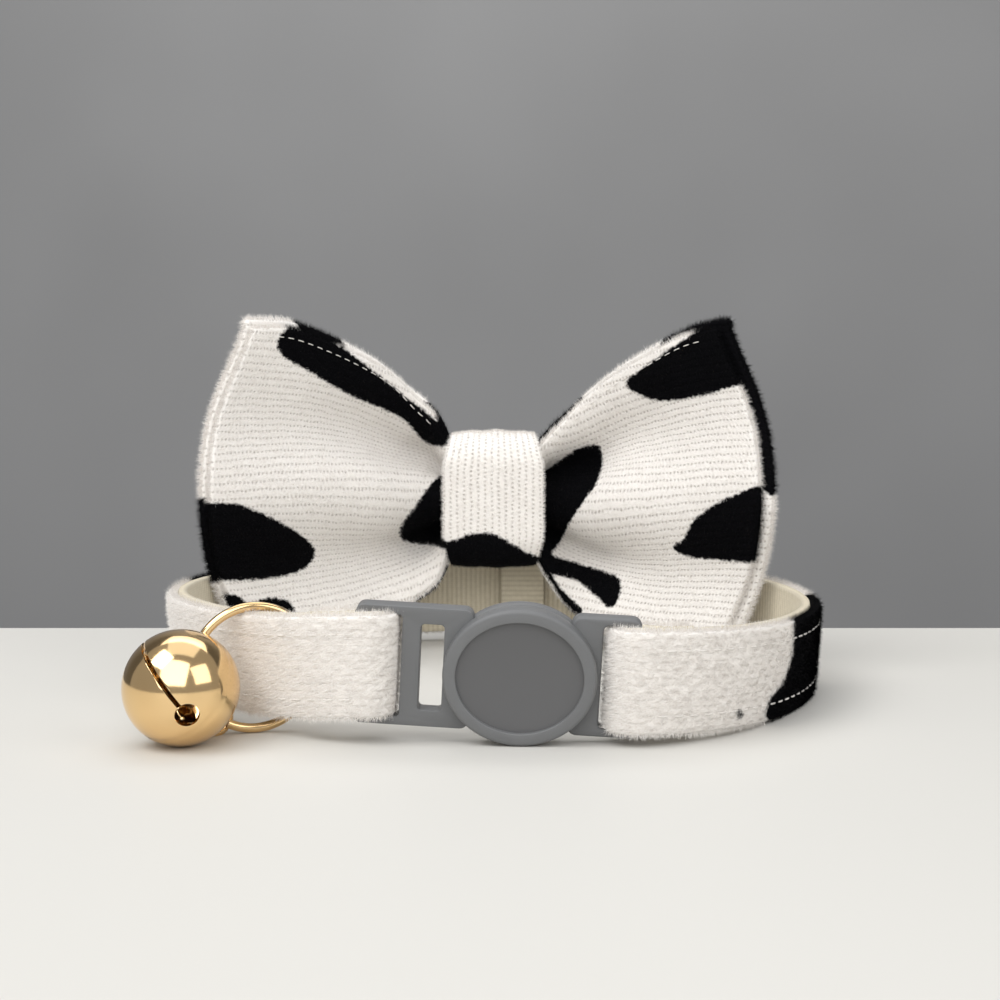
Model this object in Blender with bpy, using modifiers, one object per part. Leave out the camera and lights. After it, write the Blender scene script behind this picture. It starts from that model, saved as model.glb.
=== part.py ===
"""Pet bow tie collar with a side-release buckle, a bell and a pleated bow.

The collar stands on its edge. X runs along the buckle, Y from the front to the rear, Z up.
The origin is the middle of the bounding box's bottom. Blender units are metres.
"""

import math

import bmesh
import bpy
import numpy as np
from mathutils import Matrix, Vector

MM = 0.001

# Clearances
TOUCH_GAP = 0.3 * MM
LAYER_GAP = 0.2 * MM

# Loop of the strap, measured to the middle of its thickness
LOOP_HALF_WIDTH = 37.6 * MM
LOOP_HALF_DEPTH = 34.4 * MM
LOOP_ROUNDNESS = 2.1
LOOP_CENTER_X = -0.9 * MM
LOOP_CENTER_Y = -1.0 * MM

# Strap
STRAP_WIDTH = 10.0 * MM
COVER_THICKNESS = 1.0 * MM
LINING_THICKNESS = 1.0 * MM
STRAP_EDGE = 0.25 * MM
TAIL_LENGTH = 7.0 * MM
ROLL_FADE = 0.035
END_FADE = 0.16
STRAP_STEPS = 62
TURN_STEPS = 8
TAIL_STEPS = 6

# Share of the way round from the left bar, bottom edge as a share of the width, lean outwards
STRAP_LIE = (
    {"way": 0.06, "lift": 0.21, "lean": 8.0},
    {"way": 0.12, "lift": 0.18, "lean": 7.0},
    {"way": 0.20, "lift": 0.15, "lean": 5.0},
    {"way": 0.32, "lift": 0.12, "lean": 0.0},
    {"way": 0.50, "lift": 0.13, "lean": 0.0},
    {"way": 0.68, "lift": 0.06, "lean": 0.0},
    {"way": 0.80, "lift": 0.015, "lean": 3.0},
    {"way": 0.90, "lift": 0.04, "lean": 7.0},
)

# Buckle
DISC_WIDTH = 15.8 * MM
DISC_HEIGHT = 14.4 * MM
DISC_FRONT = 3.0 * MM
DISC_BACK = 1.2 * MM
DISC_RIM = 1.35 * MM
RECESS_DEPTH = 0.5 * MM
DISC_CENTER_X = 2.1 * MM
BUCKLE_LEAN = 7.0
BUCKLE_YAW = 2.5
HOUSING_ROLL = 0.5
LATCH_ROLL = 3.3
FRAME_THICKNESS = 2.0 * MM
BAR_THICKNESS = 1.6 * MM
RAIL_HEIGHT = 1.1 * MM
SLOT_CLEARANCE = 0.55 * MM
LATCH_BAR_WIDTH = 1.8 * MM
LATCH_SLOT_WIDTH = 2.7 * MM
LATCH_CENTER_BAR_WIDTH = 1.8 * MM
LATCH_EMPTY_SLOT_WIDTH = 2.1 * MM
LATCH_ROOT_WIDTH = 0.6 * MM
HOUSING_BAR_WIDTH = 1.5 * MM
TONGUE_LENGTH = 7.0 * MM
TONGUE_HEIGHT = 8.0 * MM
TONGUE_THICKNESS = 1.2 * MM
TONGUE_ROOM = 0.4 * MM
PLASTIC_ROUND = 0.35 * MM

# Bell and ring
RING_OUTER_DIAMETER = 14.0 * MM
RING_WIRE = 1.0 * MM
RING_SPLIT = 0.3 * MM
RING_TURN = 20.0
RING_WAY = 0.063
RING_OFFSET = 0.5 * MM
RING_SPLIT_ANGLE = -62.0
BELL_DIAMETER = 12.0 * MM
BELL_WALL = 0.6 * MM
BELL_SLIT = 0.5 * MM
BELL_HOLE = 2.4 * MM
BELL_HOLE_ANGLE = 70.0
BELL_SLIT_ROLL = 112.0
BELL_SLIT_TILT = 20.0
BELL_RING_ANGLE = -25.0
BELL_TURN = 8.0
SHANK_HOLE = 2.3 * MM
SHANK_WIRE = 0.8 * MM
PELLET_DIAMETER = 3.0 * MM

# Bow
BOW_CLOTH = 1.0 * MM
BOW_HEIGHT = 44.8 * MM
BOW_LIFT = 0.11 * MM
BOW_CENTER_X = -0.9 * MM
BOW_SEAM = 1.2 * MM
BOW_LEFT_LENGTH = 42.9 * MM
BOW_RIGHT_LENGTH = 40.4 * MM
BOW_LEFT_TIP_SEAM = 0.4 * MM
KNOT_SEAM_SHARE = 0.3
BOW_TIP_CURVE = 6.5 * MM
BOW_SWEEP = 40.0
BOW_SWEEP_LENGTH = 9.0 * MM
BOW_PUFF = 1.3 * MM
BOW_STATIONS = 12
BOW_POINTS = 20

# Each wing's half height along its length, and how far its middle lies under the tip's middle,
# as a share of the bow's height
WING_SHAPES = {
    "left": (
        {"along": 0.00, "height": 0.285, "sag": 0.034},
        {"along": 0.15, "height": 0.295, "sag": 0.034},
        {"along": 0.22, "height": 0.52, "sag": 0.033},
        {"along": 0.31, "height": 0.635, "sag": 0.029},
        {"along": 0.42, "height": 0.765, "sag": 0.020},
        {"along": 0.54, "height": 0.85, "sag": 0.011},
        {"along": 0.70, "height": 0.935, "sag": 0.002},
        {"along": 0.85, "height": 1.00, "sag": 0.0},
        {"along": 1.00, "height": 1.00, "sag": 0.0},
    ),
    "right": (
        {"along": 0.00, "height": 0.285, "sag": 0.034},
        {"along": 0.15, "height": 0.295, "sag": 0.034},
        {"along": 0.22, "height": 0.43, "sag": 0.050},
        {"along": 0.31, "height": 0.585, "sag": 0.065},
        {"along": 0.42, "height": 0.715, "sag": 0.057},
        {"along": 0.54, "height": 0.815, "sag": 0.045},
        {"along": 0.70, "height": 0.905, "sag": 0.028},
        {"along": 0.85, "height": 0.97, "sag": 0.010},
        {"along": 1.00, "height": 1.00, "sag": 0.0},
    ),
}

# Turn of the pleats and fullness along both wings
BOW_PLEATS = (
    {"along": 0.00, "pleat": 92.0, "puff": 0.0},
    {"along": 0.15, "pleat": 92.0, "puff": 0.0},
    {"along": 0.22, "pleat": 72.0, "puff": 0.2},
    {"along": 0.31, "pleat": 58.0, "puff": 0.6},
    {"along": 0.42, "pleat": 45.0, "puff": 1.0},
    {"along": 0.54, "pleat": 34.0, "puff": 1.0},
    {"along": 0.70, "pleat": 23.0, "puff": 0.8},
    {"along": 0.85, "pleat": 16.0, "puff": 0.4},
    {"along": 1.00, "pleat": 11.0, "puff": 0.0},
)

# Knot and keeper
KNOT_WIDTH = 13.2 * MM
KNOT_HEIGHT = 18.4 * MM
KNOT_DEPTH = 12.6 * MM
KNOT_CLOTH = 1.4 * MM
KNOT_ROUND = 4.2 * MM
KNOT_WAIST = 0.88
KNOT_CENTER_HEIGHT = 21.0 * MM
KEEPER_WIDTH = 6.0 * MM
KEEPER_CLOTH = 0.9 * MM
KEEPER_TOP = 19.0 * MM
KEEPER_OFFSET_X = 4.1 * MM
KEEPER_ROUND = 1.6 * MM

# Values that follow from the sizes above
STRAP_THICKNESS = COVER_THICKNESS + LAYER_GAP + LINING_THICKNESS
WRAP_RADIUS = max(BAR_THICKNESS, LATCH_BAR_WIDTH, HOUSING_BAR_WIDTH) / 2 + LAYER_GAP + STRAP_THICKNESS / 2
SLOT_HEIGHT = STRAP_WIDTH + 2 * SLOT_CLEARANCE
FRAME_HEIGHT = SLOT_HEIGHT + 2 * RAIL_HEIGHT
HOUSING_SLOT_WIDTH = WRAP_RADIUS + STRAP_THICKNESS / 2 - HOUSING_BAR_WIDTH / 2 + TOUCH_GAP
LATCH_ROOT_X = -DISC_WIDTH / 2 - TOUCH_GAP
LATCH_OUTER_BAR_X = (
    LATCH_ROOT_X - LATCH_ROOT_WIDTH - LATCH_EMPTY_SLOT_WIDTH - LATCH_CENTER_BAR_WIDTH
    - LATCH_SLOT_WIDTH - LATCH_BAR_WIDTH / 2
)
HOUSING_BAR_X = DISC_WIDTH / 2 + HOUSING_SLOT_WIDTH + HOUSING_BAR_WIDTH / 2
BUCKLE_CENTER = Vector((
    DISC_CENTER_X,
    LOOP_CENTER_Y - LOOP_HALF_DEPTH + TOUCH_GAP,
    DISC_HEIGHT / 2 * math.cos(math.radians(BUCKLE_LEAN)) + DISC_FRONT * math.sin(math.radians(BUCKLE_LEAN)),
))
STRAP_REAR_Y = LOOP_CENTER_Y + LOOP_HALF_DEPTH
KEEPER_BACK_Y = STRAP_REAR_Y + STRAP_THICKNESS / 2 + TOUCH_GAP + KEEPER_CLOTH
BELL_RADIUS = BELL_DIAMETER / 2
RING_RADIUS = (RING_OUTER_DIAMETER - RING_WIRE) / 2
KNOT_BACK_Y = STRAP_REAR_Y - STRAP_THICKNESS / 2 - 5 * TOUCH_GAP - KEEPER_CLOTH
BOW_CENTER_Y = KNOT_BACK_Y - KNOT_DEPTH / 2

# Materials as color, roughness and metallic
FINISHES = {
    "plush": ((0.82, 0.79, 0.75), 0.95, 0.0),
    "ribbed_lining": ((0.78, 0.73, 0.60), 0.9, 0.0),
    "grey_plastic": ((0.16, 0.16, 0.16), 0.55, 0.0),
    "gold": ((0.80, 0.55, 0.22), 0.22, 1.0),
}


def clear_scene():
    """Remove every object that the file starts with."""
    for existing in list(bpy.data.objects):
        bpy.data.objects.remove(existing, do_unlink=True)


def make_collection(name):
    """Add a collection to the scene."""
    collection = bpy.data.collections.new(name)
    bpy.context.scene.collection.children.link(collection)
    return collection


def make_material(name, finish):
    """Make a Principled material from a row of FINISHES."""
    color, roughness, metallic = FINISHES[finish]
    material = bpy.data.materials.new(name)
    material.use_nodes = True
    shader = material.node_tree.nodes["Principled BSDF"]
    shader.inputs["Base Color"].default_value = (*color, 1.0)
    shader.inputs["Roughness"].default_value = roughness
    shader.inputs["Metallic"].default_value = metallic
    return material


def add_object(name, mesh, finish, collection, parent):
    """Link a mesh as a named piece with its own material."""
    piece = bpy.data.objects.new(name, mesh)
    mesh.materials.clear()
    mesh.materials.append(make_material(name + "_finish", finish))
    collection.objects.link(piece)
    piece.parent = parent
    return piece


def mesh_from_bmesh(name, shape, smooth_angle=35.0):
    """Turn a bmesh into a smooth shaded mesh with its sharp edges marked."""
    mesh = bpy.data.meshes.new(name)
    bmesh.ops.recalc_face_normals(shape, faces=shape.faces)
    shape.to_mesh(mesh)
    shape.free()
    mesh.shade_smooth()
    mesh.set_sharp_from_angle(angle=math.radians(smooth_angle))
    return mesh


def loft(name, rings, closed=False):
    """Join rings of points into one solid.

    Each ring runs along one side and back along the other, so an open loft's ends are capped
    with a strip of quads between the two sides.
    """
    shape = bmesh.new()
    rows = [[shape.verts.new(point) for point in ring] for ring in rings]
    count = len(rows[0])
    following = rows[1:] + rows[:1] if closed else rows[1:]
    for row, after in zip(rows, following):
        for index in range(count):
            beside = (index + 1) % count
            shape.faces.new((row[index], row[beside], after[beside], after[index]))
    if not closed:
        for row in (rows[0], rows[-1]):
            for index in range(count // 2 - 1):
                shape.faces.new((row[index], row[index + 1], row[count - 2 - index], row[count - 1 - index]))
    return mesh_from_bmesh(name, shape)


def smoothstep(value):
    """Ease from 0 to 1."""
    value = min(max(value, 0.0), 1.0)
    return value * value * (3.0 - 2.0 * value)


def area_under(values, steps):
    """Add up the area under a curve given at steps."""
    return float(np.sum((values[1:] + values[:-1]) * np.diff(steps)) / 2.0)


def read_table(table, key, column, at):
    """Read a column of a table at a place between its rows, along a smooth curve."""
    places = [row[key] for row in table]
    values = [row[column] for row in table]
    if at <= places[0]:
        return values[0]
    if at >= places[-1]:
        return values[-1]
    index = max(i for i, place in enumerate(places) if place <= at)
    span = places[index + 1] - places[index]
    share = (at - places[index]) / span

    def slope(i):
        low = max(i - 1, 0)
        high = min(i + 1, len(places) - 1)
        return (values[high] - values[low]) / (places[high] - places[low]) * span

    square = share * share
    cube = square * share
    return (
        (2 * cube - 3 * square + 1) * values[index] + (cube - 2 * square + share) * slope(index)
        + (3 * square - 2 * cube) * values[index + 1] + (cube - square) * slope(index + 1)
    )


def chamfered_ring(low, high, half_height, chamfer):
    """Give the eight corners of a flat band's section as (across, up), one side and back."""
    return (
        (high - chamfer, -half_height),
        (high, -half_height + chamfer),
        (high, half_height - chamfer),
        (high - chamfer, half_height),
        (low + chamfer, half_height),
        (low, half_height - chamfer),
        (low, -half_height + chamfer),
        (low + chamfer, -half_height),
    )


def buckle_matrix(roll):
    """Place a half of the buckle: its roll in its own plane, then the lean and the yaw."""
    lean = Matrix.Rotation(math.radians(BUCKLE_LEAN), 4, "X")
    yaw = Matrix.Rotation(math.radians(-BUCKLE_YAW), 4, "Z")
    own_roll = Matrix.Rotation(math.radians(roll), 4, "Y")
    return Matrix.Translation(BUCKLE_CENTER) @ yaw @ lean @ own_roll


def buckle_point(x, roll):
    """Give the world place of a point on the middle line of a buckle frame."""
    return buckle_matrix(roll) @ Vector((x, 0.0, 0.0))


def loop_place(turn):
    """Give a place on the loop and its outward direction, in plan, at an angle of the ellipse."""
    power = 2.0 / LOOP_ROUNDNESS
    along = math.cos(turn)
    across = math.sin(turn)
    place = Vector((
        LOOP_CENTER_X + LOOP_HALF_WIDTH * math.copysign(abs(along) ** power, along),
        LOOP_CENTER_Y + LOOP_HALF_DEPTH * math.copysign(abs(across) ** power, across),
        0.0,
    ))
    outward = Vector((
        math.copysign(abs(along) ** (2.0 - power), along) / LOOP_HALF_WIDTH,
        math.copysign(abs(across) ** (2.0 - power), across) / LOOP_HALF_DEPTH,
        0.0,
    ))
    return place, outward.normalized()


def turn_at_x(x, side):
    """Give the ellipse angle of the front place that lies at x, left (-1) or right (1)."""
    share = min(abs(x - LOOP_CENTER_X) / LOOP_HALF_WIDTH, 1.0) ** (LOOP_ROUNDNESS / 2.0)
    return -math.acos(share) if side > 0 else -math.pi + math.acos(share)


def main_path_at(way):
    """Give the strap's middle line and its outward direction at a share of the way round.

    It starts in front of the latch's outer bar, runs round the left, rear and right, and ends in
    front of the housing's bar.
    """
    left_bar = buckle_point(LATCH_OUTER_BAR_X, LATCH_ROLL)
    right_bar = buckle_point(HOUSING_BAR_X, HOUSING_ROLL)
    start = turn_at_x(left_bar.x, -1)
    end = turn_at_x(right_bar.x, 1)
    turn = start + (end - 2.0 * math.pi - start) * way
    place, outward = loop_place(turn)
    start_place, start_outward = loop_place(start)
    end_place, end_outward = loop_place(end)
    start_shift = (left_bar + start_outward * WRAP_RADIUS) - start_place
    end_shift = (right_bar + end_outward * WRAP_RADIUS) - end_place
    start_shift.z = 0.0
    end_shift.z = 0.0
    place = place + start_shift * (1.0 - smoothstep(way / END_FADE))
    place = place + end_shift * smoothstep((way - 1.0 + END_FADE) / END_FADE)
    return place, outward


def strap_pose_at(way):
    """Give the height of the strap's middle and its lean at a share of the way round."""
    half = STRAP_WIDTH / 2
    ends = (
        (0.0, buckle_point(LATCH_OUTER_BAR_X, LATCH_ROLL).z),
        (1.0, buckle_point(HOUSING_BAR_X, HOUSING_ROLL).z),
    )
    rows = [{"way": row["way"], "lean": row["lean"],
             "height": row["lift"] * STRAP_WIDTH + half * math.cos(math.radians(row["lean"]))}
            for row in STRAP_LIE]
    rows.insert(0, {"way": ends[0][0], "lean": BUCKLE_LEAN, "height": ends[0][1]})
    rows.append({"way": ends[1][0], "lean": BUCKLE_LEAN, "height": ends[1][1]})
    return read_table(rows, "way", "height", way), math.radians(read_table(rows, "way", "lean", way))


def tail_spacing(share):
    """Give how far a tail lies inside the strap, from the bar to its free end."""
    against_strap = STRAP_THICKNESS + TOUCH_GAP
    return 2 * WRAP_RADIUS + (against_strap - 2 * WRAP_RADIUS) * smoothstep(share / 0.6)


def loop_length():
    """Add up the length of the strap's middle line from bar to bar."""
    steps = 60
    places = [main_path_at(index / steps)[0] for index in range(steps + 1)]
    return sum((after - before).length for before, after in zip(places, places[1:]))


def strap_stations():
    """List the strap's stations from one tail's end to the other as place and up direction."""
    stations = []
    tail_share = TAIL_LENGTH / loop_length()
    latch_up = buckle_matrix(LATCH_ROLL).col[2].to_3d()
    housing_up = buckle_matrix(HOUSING_ROLL).col[2].to_3d()

    def add(plan_place, way, outward):
        height, lean = strap_pose_at(way)
        up = outward * math.sin(lean) + Vector((0, 0, math.cos(lean)))
        up = up.lerp(latch_up, smoothstep(1.0 - way / ROLL_FADE))
        up = up.lerp(housing_up, smoothstep(1.0 - (1.0 - way) / ROLL_FADE)).normalized()
        place = Vector((plan_place.x, plan_place.y, height))
        stations.append((place, up))

    def add_tail(edge, direction, shares):
        for share in shares:
            way = edge + direction * tail_share * share
            place, outward = main_path_at(way)
            add(place - outward * tail_spacing(share), way, outward)

    def add_turn(way, sign, backwards):
        place, outward = main_path_at(way)
        center = place - outward * WRAP_RADIUS
        toward_buckle = Vector((-outward.y, outward.x, 0.0)) * sign
        steps = [index / TURN_STEPS for index in range(1, TURN_STEPS)]
        for share in (reversed(steps) if backwards else steps):
            angle = math.pi * share
            turned = outward * math.cos(angle) + toward_buckle * math.sin(angle)
            add(center + turned * WRAP_RADIUS, way, outward)

    shares = [index / (TAIL_STEPS - 1) for index in range(TAIL_STEPS)]
    add_tail(0.0, 1.0, reversed(shares))
    add_turn(0.0, 1.0, True)
    for index in range(STRAP_STEPS + 1):
        way = index / STRAP_STEPS
        place, outward = main_path_at(way)
        add(place, way, outward)
    add_turn(1.0, -1.0, False)
    add_tail(1.0, -1.0, shares)
    return stations


def strap_layer(name, low, high):
    """Loft one layer of the strap, which lies between two depths outward of its middle."""
    stations = strap_stations()
    rings = []
    for index, (place, up) in enumerate(stations):
        before = stations[max(index - 1, 0)][0]
        after = stations[min(index + 1, len(stations) - 1)][0]
        along = (after - before).normalized()
        out = up.cross(along).normalized()
        section = chamfered_ring(low, high, STRAP_WIDTH / 2, STRAP_EDGE)
        rings.append([place + out * across + up * height for across, height in section])
    return loft(name, rings)


def add_box(name, size, place, collection):
    """Add a box as a mesh object of its own size, with its scale applied."""
    bpy.ops.mesh.primitive_cube_add(size=1.0)
    box = bpy.context.object
    box.name = name
    box.data.transform(Matrix.Translation(place) @ Matrix.Diagonal((*size, 1.0)))
    move_to(box, collection)
    return box


def add_oval(name, width, height, depth, front_y, collection, sides=40):
    """Add an oval disc whose front lies at front_y, with its axis along Y."""
    bpy.ops.mesh.primitive_cylinder_add(vertices=sides, radius=0.5, depth=1.0)
    disc = bpy.context.object
    disc.name = name
    turned = Matrix.Rotation(math.radians(90.0), 4, "X")
    sized = Matrix.Diagonal((width, depth, height, 1.0))
    disc.data.transform(Matrix.Translation((0.0, front_y + depth / 2, 0.0)) @ sized @ turned)
    move_to(disc, collection)
    return disc


def add_bar(name, width, thickness, height, x, collection):
    """Add an upright bar of oval section for the strap to wrap."""
    bpy.ops.mesh.primitive_cylinder_add(vertices=16, radius=0.5, depth=1.0)
    bar = bpy.context.object
    bar.name = name
    bar.data.transform(Matrix.Translation((x, 0.0, 0.0)) @ Matrix.Diagonal((width, thickness, height, 1.0)))
    move_to(bar, collection)
    return bar


def move_to(piece, collection):
    """Keep an object in one collection only."""
    for holder in list(piece.users_collection):
        holder.objects.unlink(piece)
    collection.objects.link(piece)


def mark_cutter(piece):
    """Leave a cutter or guide out of the model."""
    piece.hide_render = True
    piece.display_type = "WIRE"


def boolean(piece, other, operation):
    """Cut, join or keep the common part with another object, which becomes a guide."""
    modifier = piece.modifiers.new(operation.lower() + "_" + other.name, "BOOLEAN")
    modifier.operation = operation
    modifier.solver = "EXACT"
    modifier.object = other
    mark_cutter(other)


def round_edges(piece, width, segments=2, limit=40.0):
    """Round the sharp edges of a piece."""
    modifier = piece.modifiers.new("rounded_edges", "BEVEL")
    modifier.width = width
    modifier.segments = segments
    modifier.limit_method = "ANGLE"
    modifier.angle_limit = math.radians(limit)


def place_buckle_half(piece, guides, roll, parent):
    """Give a buckle half and its guides the buckle's place."""
    for item in [piece, *guides]:
        item.parent = parent
        item.matrix_basis = buckle_matrix(roll)


def dress(piece, finish):
    """Give a primitive based piece its material and smooth shading."""
    piece.data.materials.clear()
    piece.data.materials.append(make_material(piece.name + "_finish", finish))
    piece.data.shade_smooth()
    piece.data.set_sharp_from_angle(angle=math.radians(35.0))


def build_housing(pieces, guides, parent):
    """Build the round half of the buckle with its strap bar on the right."""
    disc = add_oval("buckle_housing", DISC_WIDTH, DISC_HEIGHT, DISC_FRONT + DISC_BACK, -DISC_FRONT, pieces)
    round_edges(disc, PLASTIC_ROUND)
    recess = add_oval(
        "recess_cutter", DISC_WIDTH - 2 * DISC_RIM, DISC_HEIGHT - 2 * DISC_RIM,
        2 * RECESS_DEPTH, -DISC_FRONT - RECESS_DEPTH, guides,
    )
    frame_right = HOUSING_BAR_X + HOUSING_BAR_WIDTH / 2
    frame_left = DISC_WIDTH / 4
    frame = add_box(
        "housing_frame", (frame_right - frame_left, FRAME_THICKNESS, FRAME_HEIGHT),
        ((frame_right + frame_left) / 2, 0.0, 0.0), guides,
    )
    round_edges(frame, PLASTIC_ROUND * 2)
    slot_width = HOUSING_SLOT_WIDTH + 2 * HOUSING_BAR_WIDTH
    slot = add_box(
        "housing_slot", (slot_width, 4 * FRAME_THICKNESS, SLOT_HEIGHT),
        ((DISC_WIDTH + slot_width) / 2, 0.0, 0.0), guides,
    )
    bar = add_bar(
        "housing_bar", HOUSING_BAR_WIDTH, BAR_THICKNESS, SLOT_HEIGHT + RAIL_HEIGHT, HOUSING_BAR_X, guides,
    )
    pocket_size = (
        TONGUE_LENGTH + 2 * TONGUE_ROOM,
        TONGUE_THICKNESS + 2 * TONGUE_ROOM,
        TONGUE_HEIGHT + 4 * TONGUE_ROOM,
    )
    pocket_x = -DISC_WIDTH / 2 + TONGUE_LENGTH / 2 - TONGUE_ROOM / 2
    pocket = add_box("tongue_pocket", pocket_size, (pocket_x, 0.0, 0.0), guides)
    boolean(disc, recess, "DIFFERENCE")
    boolean(disc, pocket, "DIFFERENCE")
    boolean(frame, slot, "DIFFERENCE")
    boolean(frame, bar, "UNION")
    cleared = add_box(
        "housing_frame_pocket_side", (DISC_WIDTH, 4 * FRAME_THICKNESS, TONGUE_HEIGHT),
        (frame_left - DISC_WIDTH / 2 + TONGUE_ROOM, 0.0, 0.0), guides,
    )
    boolean(frame, cleared, "DIFFERENCE")
    boolean(disc, frame, "UNION")
    dress(disc, "grey_plastic")
    place_buckle_half(disc, [recess, frame, slot, bar, pocket, cleared], HOUSING_ROLL, parent)


def build_latch(pieces, guides, parent):
    """Build the ladder frame with its tongue on the left."""
    left = LATCH_OUTER_BAR_X - LATCH_BAR_WIDTH / 2
    right = LATCH_ROOT_X
    frame = add_box(
        "buckle_latch", (right - left, FRAME_THICKNESS, FRAME_HEIGHT), ((left + right) / 2, 0.0, 0.0), pieces,
    )
    round_edges(frame, PLASTIC_ROUND * 2)
    open_width = LATCH_SLOT_WIDTH + 2 * LATCH_BAR_WIDTH
    strap_slot_x = left + LATCH_BAR_WIDTH + LATCH_SLOT_WIDTH - open_width / 2
    empty_slot_x = right - LATCH_ROOT_WIDTH - LATCH_EMPTY_SLOT_WIDTH / 2
    cutters = []
    for name, width, x in (
        ("latch_strap_slot", open_width, strap_slot_x),
        ("latch_empty_slot", LATCH_EMPTY_SLOT_WIDTH, empty_slot_x),
    ):
        cutters.append(add_box(name, (width, 4 * FRAME_THICKNESS, SLOT_HEIGHT), (x, 0.0, 0.0), guides))
    bar = add_bar(
        "latch_bar", LATCH_BAR_WIDTH, BAR_THICKNESS, SLOT_HEIGHT + RAIL_HEIGHT, LATCH_OUTER_BAR_X, guides,
    )
    disc_room = add_oval(
        "disc_room", DISC_WIDTH + 2 * TOUCH_GAP, DISC_HEIGHT + 2 * TOUCH_GAP,
        3 * (DISC_FRONT + DISC_BACK), -DISC_FRONT - DISC_BACK, guides,
    )
    cutters.append(disc_room)
    tongue = add_box(
        "tongue", (TONGUE_LENGTH + LATCH_ROOT_WIDTH, TONGUE_THICKNESS, TONGUE_HEIGHT),
        (right - LATCH_ROOT_WIDTH + (TONGUE_LENGTH + LATCH_ROOT_WIDTH) / 2, 0.0, 0.0), guides,
    )
    for cutter in cutters:
        boolean(frame, cutter, "DIFFERENCE")
    boolean(frame, bar, "UNION")
    boolean(frame, tongue, "UNION")
    dress(frame, "grey_plastic")
    place_buckle_half(frame, [*cutters, bar, tongue], LATCH_ROLL, parent)


def ring_frame():
    """Give the ring's center and its in-plane direction toward the front left."""
    place, outward = main_path_at(RING_WAY)
    turn = math.radians(RING_TURN)
    side = Vector((-math.cos(turn), -math.sin(turn), 0.0))
    center = place + side * RING_OFFSET
    center.z = RING_OUTER_DIAMETER / 2
    return center, side


def ring_point(angle):
    """Give a place on the ring's middle line, at degrees above its front left side."""
    center, side = ring_frame()
    turned = math.radians(angle)
    return center + (side * math.cos(turned) + Vector((0, 0, math.sin(turned)))) * RING_RADIUS


def build_ring(pieces, parent):
    """Build the split ring as a wire along an open circle."""
    steps = 36
    split_degrees = math.degrees(RING_SPLIT / RING_RADIUS)
    first = RING_SPLIT_ANGLE + split_degrees / 2
    sweep = 360.0 - split_degrees
    curve = bpy.data.curves.new("bell_ring", "CURVE")
    curve.dimensions = "3D"
    curve.bevel_depth = RING_WIRE / 2
    curve.bevel_resolution = 2
    curve.use_fill_caps = True
    spline = curve.splines.new("POLY")
    spline.points.add(steps)
    for index, point in enumerate(spline.points):
        point.co = (*ring_point(first + sweep * index / steps), 1.0)
    piece = bpy.data.objects.new("bell_ring", curve)
    curve.materials.append(make_material("bell_ring_finish", "gold"))
    pieces.objects.link(piece)
    piece.parent = parent


def bell_frame():
    """Give the bell's center and its turn: its own +Z points away from the ring."""
    held = ring_point(BELL_RING_ANGLE)
    shank_reach = BELL_RADIUS + SHANK_HOLE / 2 + SHANK_WIRE / 4
    drop = held.z - BELL_RADIUS
    reach = math.sqrt(shank_reach ** 2 - drop ** 2)
    turn = math.radians(-90.0 - BELL_TURN)
    center = held + Vector((math.cos(turn) * reach, math.sin(turn) * reach, 0.0))
    center.z = BELL_RADIUS
    away = (center - held).normalized()
    across = Vector((0, 0, 1)).cross(away).normalized()
    up = away.cross(across)
    matrix = Matrix((across, up, away)).transposed().to_4x4()
    matrix.translation = center
    return matrix, shank_reach


def build_bell(pieces, guides, parent):
    """Build the hollow bell with its slit, its holes and its shank."""
    matrix, shank_reach = bell_frame()
    shape = bmesh.new()
    bmesh.ops.create_uvsphere(shape, u_segments=24, v_segments=12, radius=BELL_RADIUS)
    mesh = mesh_from_bmesh("bell", shape)
    bell = add_object("bell", mesh, "gold", pieces, parent)
    bell.matrix_basis = matrix
    shape = bmesh.new()
    bmesh.ops.create_uvsphere(shape, u_segments=16, v_segments=8, radius=BELL_RADIUS - BELL_WALL)
    hollow = bpy.data.objects.new("bell_hollow", mesh_from_bmesh("bell_hollow", shape))
    guides.objects.link(hollow)
    slit_length = 2 * BELL_RADIUS * math.sin(math.radians(BELL_HOLE_ANGLE))
    slit = add_box("bell_slit", (slit_length, BELL_SLIT, BELL_DIAMETER), (0, 0, BELL_RADIUS * 1.3), guides)
    slit_turn = Matrix.Rotation(math.radians(-BELL_SLIT_TILT), 4, "X")
    slit_turn = slit_turn @ Matrix.Rotation(math.radians(BELL_SLIT_ROLL), 4, "Z")
    slit.data.transform(slit_turn)
    items = [hollow, slit]
    for side in (-1, 1):
        bpy.ops.mesh.primitive_cylinder_add(vertices=14, radius=BELL_HOLE / 2, depth=BELL_RADIUS)
        hole = bpy.context.object
        hole.name = "bell_hole"
        tilt = Matrix.Rotation(math.radians(side * BELL_HOLE_ANGLE), 4, "Y")
        hole.data.transform(slit_turn @ tilt @ Matrix.Translation((0, 0, BELL_RADIUS)))
        move_to(hole, guides)
        items.append(hole)
    bpy.ops.mesh.primitive_torus_add(
        major_segments=14, minor_segments=8,
        major_radius=(SHANK_HOLE + SHANK_WIRE) / 2, minor_radius=SHANK_WIRE / 2,
    )
    shank = bpy.context.object
    shank.name = "bell_shank"
    tangent = (ring_point(BELL_RING_ANGLE + 5.0) - ring_point(BELL_RING_ANGLE - 5.0)).normalized()
    local_tangent = matrix.to_3x3().inverted() @ tangent
    facing = Vector((local_tangent.x, local_tangent.y, 0.0)).to_track_quat("Z", "Y").to_matrix().to_4x4()
    shank.data.transform(Matrix.Translation((0, 0, -shank_reach + SHANK_WIRE / 4)) @ facing)
    move_to(shank, guides)
    for item in (*items, shank):
        item.parent = parent
        item.matrix_basis = matrix
    boolean(bell, shank, "UNION")
    for item in items:
        boolean(bell, item, "DIFFERENCE")


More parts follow.
